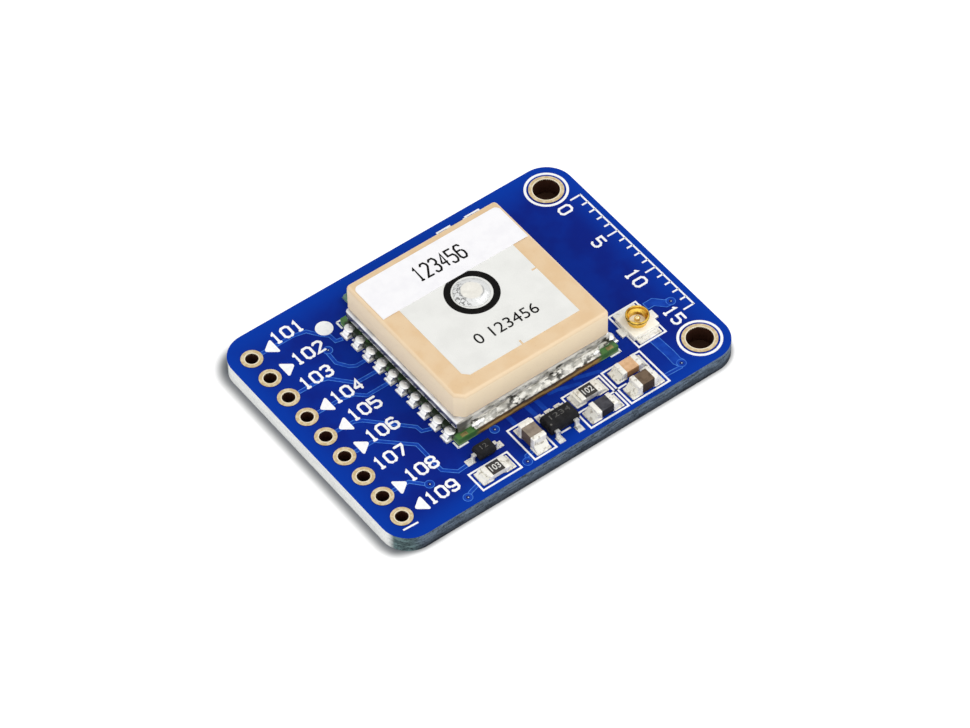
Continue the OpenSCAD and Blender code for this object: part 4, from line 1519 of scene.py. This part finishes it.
@dataclass
class PatchAntenna(Assembly):
    """The ceramic antenna with its electrode, feed joint and label."""

    clip: float = 0.7
    corner: float = 0.37
    edge: float = 0.35
    fired: float = 0.08
    label: tuple[float, float, float, float] = (-6.65, 7.85, 3.73, 7.86)
    ring: tuple[float, float] = (2.3, 0.58)
    ring_shift: float = 0.04
    dome: tuple[float, float, float] = (1.6, 0.95, 0.32)
    ink: float = 0.012
    label_ink: float = 0.008
    label_round: float = 0.45
    label_fold: float = 0.3
    label_sag: float = 0.04

    def build(self) -> None:
        """Makes the ceramic, the joint and the prints."""
        self.ceramic()
        self.feed()
        top = span("antenna_electrode")[1].z
        x, y, _ = centre("feed_solder")
        prints = [hollow(disc(x + self.ring_shift, y, self.ring[0], top, 72), self.ring[1]),
                  numerals("0 123456", (-2.2, -3.05, top), 1.12, 6.05, -1.3)]
        keep(printed(prints, self.ink), "electrode_print", INK, "black_mould")
        paper = span("antenna_label")[1].z
        digits = figures("123456", (-2.05, 5.02, paper), 1.68, -1.5, 0.18, 0.58)
        keep(printed(digits, self.label_ink), "label_print", INK, "black_mould")
        self.sheet(paper)

    def sheet(self, paper: float) -> None:
        """Makes the label, with two round corners and ends that follow the ceramic's edge down.

        Args:
            paper: The height of its top.
        """
        left, right, front, back = self.label
        thick = paper - span("antenna_electrode")[1].z
        middle = ((left + right) / 2, (front + back) / 2, paper - thick / 2)
        made = block((right - left, back - front, thick), middle)
        with editing(made):
            pick(made, Pick.EDGES, lambda at, way: abs(way.z) > 0.9 and at.y > back - 0.01)
            bevel(self.label_round, 6)
            for x in (left + self.label_fold, right - self.label_fold):
                everything()
                bpy.ops.mesh.bisect(plane_co=(x, 0, 0), plane_no=(1, 0, 0))
            pick(made, Pick.VERTS, lambda at, _: at.x < left + 0.28 or at.x > right - 0.28)
            bpy.ops.transform.translate(value=(0, 0, -self.label_sag))
        keep(soften(made, 0.015, 2), "label_sheet", PAPER, "label_paper", "antenna_label", angle=4)

    def ceramic(self) -> None:
        """Makes the clipped and tumbled block with its feed hole, a little over its size at the back."""
        low, high = span("patch_antenna")
        high.y += self.fired
        made = block(high - low, (low + high) / 2)
        with editing(made):
            for clipped, leg, steps in ((True, self.clip, 1), (False, self.corner, 6)):
                pick(made, Pick.EDGES, lambda at, way: abs(way.z) > 0.9
                     and abs(at.z - (low.z + high.z) / 2) < 0.1
                     and (at.x - low.x + at.y - low.y < 0.1) == clipped
                     and min(at.x - low.x, high.x - at.x) + min(at.y - low.y, high.y - at.y) < 0.01)
                bevel(leg, steps)
            pick(made, Pick.EDGES, lambda at, _: at.z > high.z - 0.01)
            bevel(self.edge, 6)
        soften(made, 0.07, 2, 25)
        feed_low, feed_high = span("feed_pin")
        cut(made, rod((feed_high.x - feed_low.x) / 2, 8, (feed_low + feed_high) / 2))
        keep(made, "ceramic_block", Ceramic("antenna ceramic"), "antenna_ceramic", "patch_antenna", angle=25)

    def feed(self) -> None:
        """Makes the joint as a low frozen drop with an uneven flat."""
        low, high = span("feed_solder")
        radius, flat, tall = self.dome
        profile = [(radius, low.z), (radius - 0.06, low.z + 0.1 * tall), (radius - 0.22, low.z + 0.45 * tall),
                   (flat + 0.22, low.z + 0.8 * tall), (flat + 0.04, low.z + 0.97 * tall),
                   (flat * 0.8, high.z), (flat * 0.5, high.z - 0.02), (flat * 0.2, high.z - 0.03)]
        x, y, _ = centre("feed_solder")
        made = turned(profile, x, y, 56)
        modify(made, "SUBSURF", levels=1, render_levels=1)
        roughen(made, 0.5, 0.09)
        keep(made, "feed_joint", FrozenDrop("frozen drop", x, y), "solder", "feed_solder", angle=60)

    def dress(self) -> None:
        """Gives the electrode, the feed pin and the layers below their finish."""
        dress(SILVER_PRINT, "antenna_electrode", "antenna_ground")
        dress(TAPE, "antenna_tape")
        dress(LEAD, "feed_pin")


@dataclass
class CoaxSocket(Assembly):
    """The small press-on socket for an outside antenna."""

    wall: float = 0.16
    rim: float = 0.45
    neck_in: float = 0.18
    strap: float = 0.2
    sheet: float = 0.12
    foot: float = 0.55
    tab: float = 0.9
    pin: float = 0.25
    legs: tuple[tuple[float, float, float], ...] = ((90, 1.82, 2.2), (270, 1.82, 2.2), (0, 0.9, 0.9))

    def build(self) -> None:
        """Makes the drawn shell on its folded strap, the contact and the insulator."""
        base_low, base_high = span("coax_base")
        shell_top = span("coax_shell")[1].z
        x, y, _ = centre("coax_base")
        seat, half = base_low.z, (base_high.x - base_low.x) / 2
        neck, rim = 1 - self.neck_in, 1.0
        turn = shell_top - self.rim
        profile = [(neck, seat + self.strap), (neck, turn), (rim - 0.02, turn + self.neck_in - 0.02),
                   (rim, turn + self.neck_in + 0.04), (rim, shell_top - 0.05), (rim - 0.04, shell_top),
                   (rim - self.wall + 0.04, shell_top), (rim - self.wall, shell_top - 0.05),
                   (rim - self.wall, turn + self.neck_in), (neck - self.wall, turn),
                   (neck - self.wall, seat + self.strap)]
        legs = [self.leg(x, y, seat, half, *leg) for leg in self.legs]
        keep(turned(profile, x, y, 56, True), "socket_barrel", GOLD, "coax_gold", "coax_shell")
        keep(join(legs), "socket_feet", END_TIN, "coax_gold", "coax_shell")
        pin_top = span("coax_pin")[1].z
        pin = turned([(self.pin, seat), (self.pin, pin_top - 0.14), (0.2, pin_top - 0.05), (0.1, pin_top)],
                     x, y, 28)
        long = half + self.foot
        tab = block((long, self.tab, self.sheet), (x - long / 2, y, seat + self.sheet / 2), 0.03)
        keep(pin, "socket_contact", CONTACT, "coax_gold", "coax_pin")
        keep(tab, "socket_tab", END_TIN, "coax_gold", "coax_pin")
        body = block(base_high - base_low, (base_low + base_high) / 2, 0.09, 3)
        keep(body, "socket_body", CREAM, "coax_insulator", "coax_base")

    def leg(self, x: float, y: float, seat: float, half: float, turn: float, strap: float,
            foot: float) -> Object:
        """Makes one folded leg and its foot.

        Args:
            x: The socket's middle.
            y: The socket's middle.
            seat: The lands' height.
            half: Half the insulator's side.
            turn: The leg's direction, in degrees.
            strap: Its width beside the insulator.
            foot: Its width on the land.

        Returns:
            The leg.
        """
        rise = self.strap + self.sheet
        made = block((self.sheet, strap, rise), (half + self.sheet / 2, 0, rise / 2))
        flat = block((self.foot, foot, self.sheet), (half + self.foot / 2, 0, self.sheet / 2))
        made = join([soften(made, 0.03, 2), soften(flat, 0.03, 2)])
        made.location, made.rotation_euler = (x, y, seat), (0, 0, math.radians(turn))
        return settle(made)


@dataclass(frozen=True)
class Chip:
    """One two-ended chip part and where it sits."""

    x: float
    y: float
    height: float
    upright: bool = False


@dataclass
class ChipParts(Assembly):
    """The resistors, capacitors and lamp with their solder."""

    size: tuple[float, float] = (2.0, 1.25)
    end: float = 0.42
    skin: float = 0.03
    seat: float = 1.65
    reach: float = 0.58
    lamp_reach: float = 0.1
    ink: float = 0.008
    code: tuple[float, float, float, float] = (-0.46, -0.3, 0.6, 0.92)
    lens_round: tuple[float, float] = (0.5, 0.22)
    resistors: tuple[Chip, ...] = (Chip(-6.72, -11.0, 0.5), Chip(3.86, -9.28, 0.5), Chip(6.3, 10.8, 0.5))
    codes: tuple[str, ...] = ("103", "102", "102")
    large: Chip = Chip(-2.46, -10.26, 1.25, True)
    grey: Chip = Chip(3.86, -11.3, 0.85)
    tan: Chip = Chip(7.97, -9.28, 0.75)
    brown: Chip = Chip(7.97, -11.3, 1.1)
    lamp: Chip = Chip(-4.6, 10.25, 0.35)

    def build(self) -> None:
        """Makes bodies, ends, fillets and codes."""
        for name, chip, finish, slot, node in (
                ("large_capacitor", self.large, CAP_DARK, "capacitor_dark", "capacitor_large"),
                ("grey_capacitor", self.grey, CAP_GREY, "capacitor_grey", "capacitor_grey"),
                ("tan_capacitor", self.tan, CAP_TAN, "capacitor_tan", "capacitor_tan"),
                ("brown_capacitor", self.brown, CAP_BROWN, "capacitor_brown", "capacitor_brown")):
            body = block((self.size[0] - 0.1, self.size[1], chip.height), (0, 0, chip.height / 2), 0.06, 3)
            keep(self.set_down(body, chip), name, finish, slot, node)
        self.ends()
        self.prints()
        self.lens()

    def ends(self) -> None:
        """Makes the metal ends of every chip, with their solder."""
        chips = [*self.resistors, self.large, self.grey, self.tan, self.brown, self.lamp]
        ends, fillets, lamp_ends = [], [], []
        for chip in chips:
            for way in (0, 180):
                end = self.set_down(self.end_cap(chip.height), chip, way)
                if chip is self.lamp:
                    lamp_ends += [end, self.set_down(self.fillet(chip.height, self.lamp_reach), chip, way)]
                else:
                    ends.append(end)
                    fillets.append(self.set_down(self.fillet(chip.height, self.reach), chip, way))
        keep(join(ends), "chip_ends", END_TIN, "lead_metal", "resistor_ends", "capacitor_ends")
        keep(join(lamp_ends), "lamp_ends", DULL_TIN, "lead_metal", "led_ends")
        keep(join(fillets), "chip_fillets", FILLET, "solder", "chip_solder")

    def prints(self) -> None:
        """Makes the resistors' codes."""
        top = span("resistor_films")[1].z
        x, y, tall, wide = self.code
        digits = [numerals(code, (chip.x + x, chip.y + y, top), tall, wide, 0, 0.01)
                  for chip, code in zip(self.resistors, self.codes)]
        keep(printed(digits, self.ink), "resistor_codes", WHITE_INK, "label_paper")

    def lens(self) -> None:
        """Makes the lamp's lens, round at its corners and its top."""
        low, high = span("led_lens")
        lens = block(high - low, (low + high) / 2)
        with editing(lens):
            pick(lens, Pick.EDGES, lambda _, way: abs(way.z) > 0.9)
            bevel(self.lens_round[0], 8)
            pick(lens, Pick.EDGES, lambda at, _: at.z > high.z - 0.01)
            bevel(self.lens_round[1], 5)
        keep(lens, "lamp_lens", LED_LENS, "led_lens", "led_lens")

    def end_cap(self, height: float) -> Object:
        """Makes one metal end, rounded, at the +X end of a chip.

        Args:
            height: The chip's height.

        Returns:
            The end.
        """
        half = self.size[0] / 2
        tall = height + 2 * self.skin
        return block((self.end + self.skin, self.size[1] + 2 * self.skin, tall),
                     (half - self.end / 2 + self.skin / 2, 0, tall / 2 - self.skin), 0.07, 3)

    def fillet(self, height: float, reach: float) -> Object:
        """Makes one hollow run of solder from a land up an end.

        Args:
            height: The chip's height.
            reach: How far it runs out on the land.

        Returns:
            The run.
        """
        tall = min(0.75 * height, 0.55)
        half = self.size[0] / 2 + self.skin
        outer = half + reach / 2
        made = block((reach, self.size[1], tall), (outer - 0.02, 0, tall / 2))
        with editing(made):
            pick(made, Pick.EDGES, lambda at, way: abs(way.y) > 0.9 and at.z > tall * 0.9 and at.x > outer)
            bevel(min(tall, reach) * 0.92, 7, 0.2)
            pick(made, Pick.EDGES, lambda at, way: abs(way.z) > 0.9 and at.x > outer)
            bevel(0.05, 2)
        apron = block((reach + 0.4, self.size[1] + 0.2, 0.09), (outer - 0.2, 0, 0.03), 0.04, 2)
        return join([made, apron])

    def set_down(self, piece: Object, chip: Chip, turn: float = 0.0) -> Object:
        """Puts what was made at the origin on a chip's place.

        Args:
            piece: What is moved.
            chip: Where it goes.
            turn: Its turn on the chip, in degrees.

        Returns:
            The piece.
        """
        piece.location = (chip.x, chip.y, self.seat)
        piece.rotation_euler = (0, 0, math.radians(turn + (90 if chip.upright else 0)))
        return settle(piece)

    def dress(self) -> None:
        """Gives the solids that stay their finish."""
        dress(CHIP, "resistor_bodies")
        dress(GLAZE, "resistor_films")
        dress(LED_BASE, "led_base")


@dataclass
class LeadedParts(Assembly):
    """The regulator and the diode in black mouldings."""

    draft: float = 0.12
    edge: float = 0.06
    ink: float = 0.006

    def build(self) -> None:
        """Makes the mouldings and their markings."""
        self.moulding("regulator_body", "regulator_moulding")
        self.moulding("diode_body", "diode_moulding")
        top = span("regulator_body")[1].z
        marks = [numerals("1234", (-0.62, -10.36, top), 0.46, 1.95, -1),
                 disc(-0.95, -10.75, 0.1, top, 20)]
        low, high = span("diode_body")
        marks.append(numerals("12", (low.x + 0.5, low.y + 0.38, high.z), 0.42, 0.62))
        keep(printed(marks, self.ink), "body_marks", FAINT_INK, "black_mould")

    def moulding(self, node: str, name: str) -> None:
        """Makes one moulding that tapers both ways from its parting line.

        Args:
            node: The solid that it stands for.
            name: The piece's name.
        """
        low, high = span(node)
        middle, size = (low + high) / 2, high - low
        made = block(size, middle)
        with editing(made):
            everything()
            bpy.ops.mesh.bisect(plane_co=middle, plane_no=(0, 0, 1))
            for side in (1, -1):
                pick(made, Pick.FACES, lambda _, way: way.z * side > 0.9)
                share = (1 - 2 * self.draft / size.x, 1 - 2 * self.draft / size.y, 1)
                bpy.ops.transform.resize(value=share, center_override=middle)
        keep(soften(made, self.edge, 3), name, MOULD, "black_mould", node)

    def dress(self) -> None:
        """Gives the leads their finish."""
        dress(LEAD, "regulator_leads", "diode_leads")


@dataclass
class Studio:
    """The floor, the light and the camera."""

    eye: tuple[float, float, float] = (-147.1692, -202.7082, 299.2255)
    aim: tuple[float, float, float] = (39.87307, 0.81772, -37.05839)
    lens: float = 179.23744
    sensor: float = 36.0
    near: float = 0.01
    key: tuple[float, float, float] = (280.0, -75.0, 410.0)
    key_size: float = 180.0
    key_power: float = 0.58
    sky: tuple[float, float] = (0.54, 0.66)
    front: float = 0.5
    side: float = 0.62
    corner: float = 2.5
    paper: Colour = (0.64, 0.64, 0.64, 1)
    # contact is a painted shadow on the floor beside the board.
    contact: Colour = (0.2, 0.21, 0.23, 1)
    # The colour under the board is painted shade, seen through its holes.
    under: Colour = (0.06, 0.03, 0.018, 1)

    def build(self) -> None:
        """Sets the stage."""
        scene = bpy.context.scene
        scene.view_settings.view_transform = "Standard"
        clear()
        bpy.ops.object.camera_add(location=[value * MM for value in self.eye],
                                  rotation=[math.radians(value) for value in self.aim])
        camera = bpy.context.object
        camera.data.lens = self.lens
        camera.data.sensor_width = self.sensor
        camera.data.sensor_fit = "HORIZONTAL"
        camera.data.clip_start = self.near
        scene.camera = camera
        self.lamp("key", self.key, self.key_size, self.key_power)
        self.world(scene)
        self.floor()

    def lamp(self, name: str, place: Sequence[float], size: float, power: float) -> None:
        """Hangs one soft lamp that faces the board.

        Args:
            name: Its name.
            place: Where it hangs.
            size: Its side.
            power: Its power in watts.
        """
        clear()
        turn = Vector(place).to_track_quat("Z", "Y").to_euler()
        bpy.ops.object.light_add(type="AREA", location=[value * MM for value in place], rotation=turn)
        light = bpy.context.object
        light.name = name
        light.data.energy = power
        light.data.size = size * MM

    def world(self, scene: bpy.types.Scene) -> None:
        """Makes a sky that is brightest overhead, and white to the camera.

        Args:
            scene: The scene that it lights.
        """
        world = bpy.data.worlds.new("sky")
        scene.world = world
        world.use_nodes = True
        graph = Graph(world.node_tree)
        low, high = self.sky
        across, along, rise = graph.axes("Generated", 1)
        up = graph.ease(rise, -0.1, 0.8)
        camera, metal = self.rays(graph)
        light = low + up * (high - low) + graph.ease(along * -1, 0.0, 0.9) * self.front + metal * 0.2
        light = light + graph.ease(across * -1, 0.1, 0.9) * self.side
        shade = graph.node("ShaderNodeBackground",
                           sockets={"Color": (1, 1, 1, 1), "Strength": camera + (1 - camera) * light})
        graph.close("ShaderNodeOutputWorld", shade)

    def rays(self, graph: Graph) -> tuple[Wire, Wire]:
        """Tells kinds of rays apart.

        Args:
            graph: The tree that asks.

        Returns:
            1 for rays of the camera, and 1 for rays of metal and of glass.
        """
        path = graph.node("ShaderNodeLightPath").socket.node.outputs
        kinds = ("Camera", "Glossy", "Transmission")
        camera, shine, through = (Wire(graph, path[f"Is {kind} Ray"]) for kind in kinds)
        return camera, graph.math("MINIMUM", shine + through, 1.0)

    def floor(self) -> None:
        """Lays a pale floor that reads white and keeps the board's shadow, with a painted shadow beside the
        board and painted shade under it.
        """
        clear()
        bpy.ops.mesh.primitive_plane_add(size=4.0, location=(0, 0, 0))
        floor = bpy.context.object
        floor.name = "floor"
        material = bpy.data.materials.new("pale floor")
        material.use_nodes = True
        graph = Graph(material.node_tree)
        x, y, _ = graph.axes()
        camera, metal = self.rays(graph)
        low, high = span("main_board")
        over_x = graph.math("MAXIMUM", abs(x) - (high.x - self.corner), 0.0)
        over_y = graph.math("MAXIMUM", abs(y) - (high.y - self.corner), 0.0)
        off = graph.math("SQRT", over_x * over_x + over_y * over_y) - self.corner
        front = graph.ease(y, low.y + 1.2, low.y - 0.8)
        front = graph.math("MAXIMUM", graph.ease(x, low.x + 0.5, low.x + 5.0), front)
        # Painted shadow: the floor's white glow is taken away near the board, over a wider band along the −X
        # side.
        painted_shadow_fade = graph.ease(off, 0.3, 1.5) * (1 - front) + graph.ease(off, -0.05, 0.5) * front
        # Painted shadow: next to the board's −X side the floor's own colour darkens.
        paper = graph.blend(graph.ease(off, -0.1, 1.0), self.contact, self.paper)
        paper = graph.blend(front, paper, self.paper)
        # Painted shade under the board.
        paper = graph.blend(off > -0.4, self.under, paper)
        matte = graph.node("ShaderNodeBsdfDiffuse", sockets={"Color": paper})
        glow = graph.node("ShaderNodeEmission", sockets={"Strength": (camera + metal) * painted_shadow_fade * 0.62})
        both = graph.node("ShaderNodeAddShader", sockets={0: matte, 1: glow})
        graph.close("ShaderNodeOutputMaterial", both)
        floor.data.materials.append(material)


def main() -> None:
    """Builds the stage and each sub-assembly in order."""
    logging.basicConfig(level=logging.INFO, format="%(message)s")
    Studio().build()
    for part in (BareBoard(), ReceiverModule(), PatchAntenna(), CoaxSocket(), ChipParts(), LeadedParts()):
        LOG.info("building %s", type(part).__name__)
        part.build()
        part.dress()


if __name__ == "__main__":
    main()
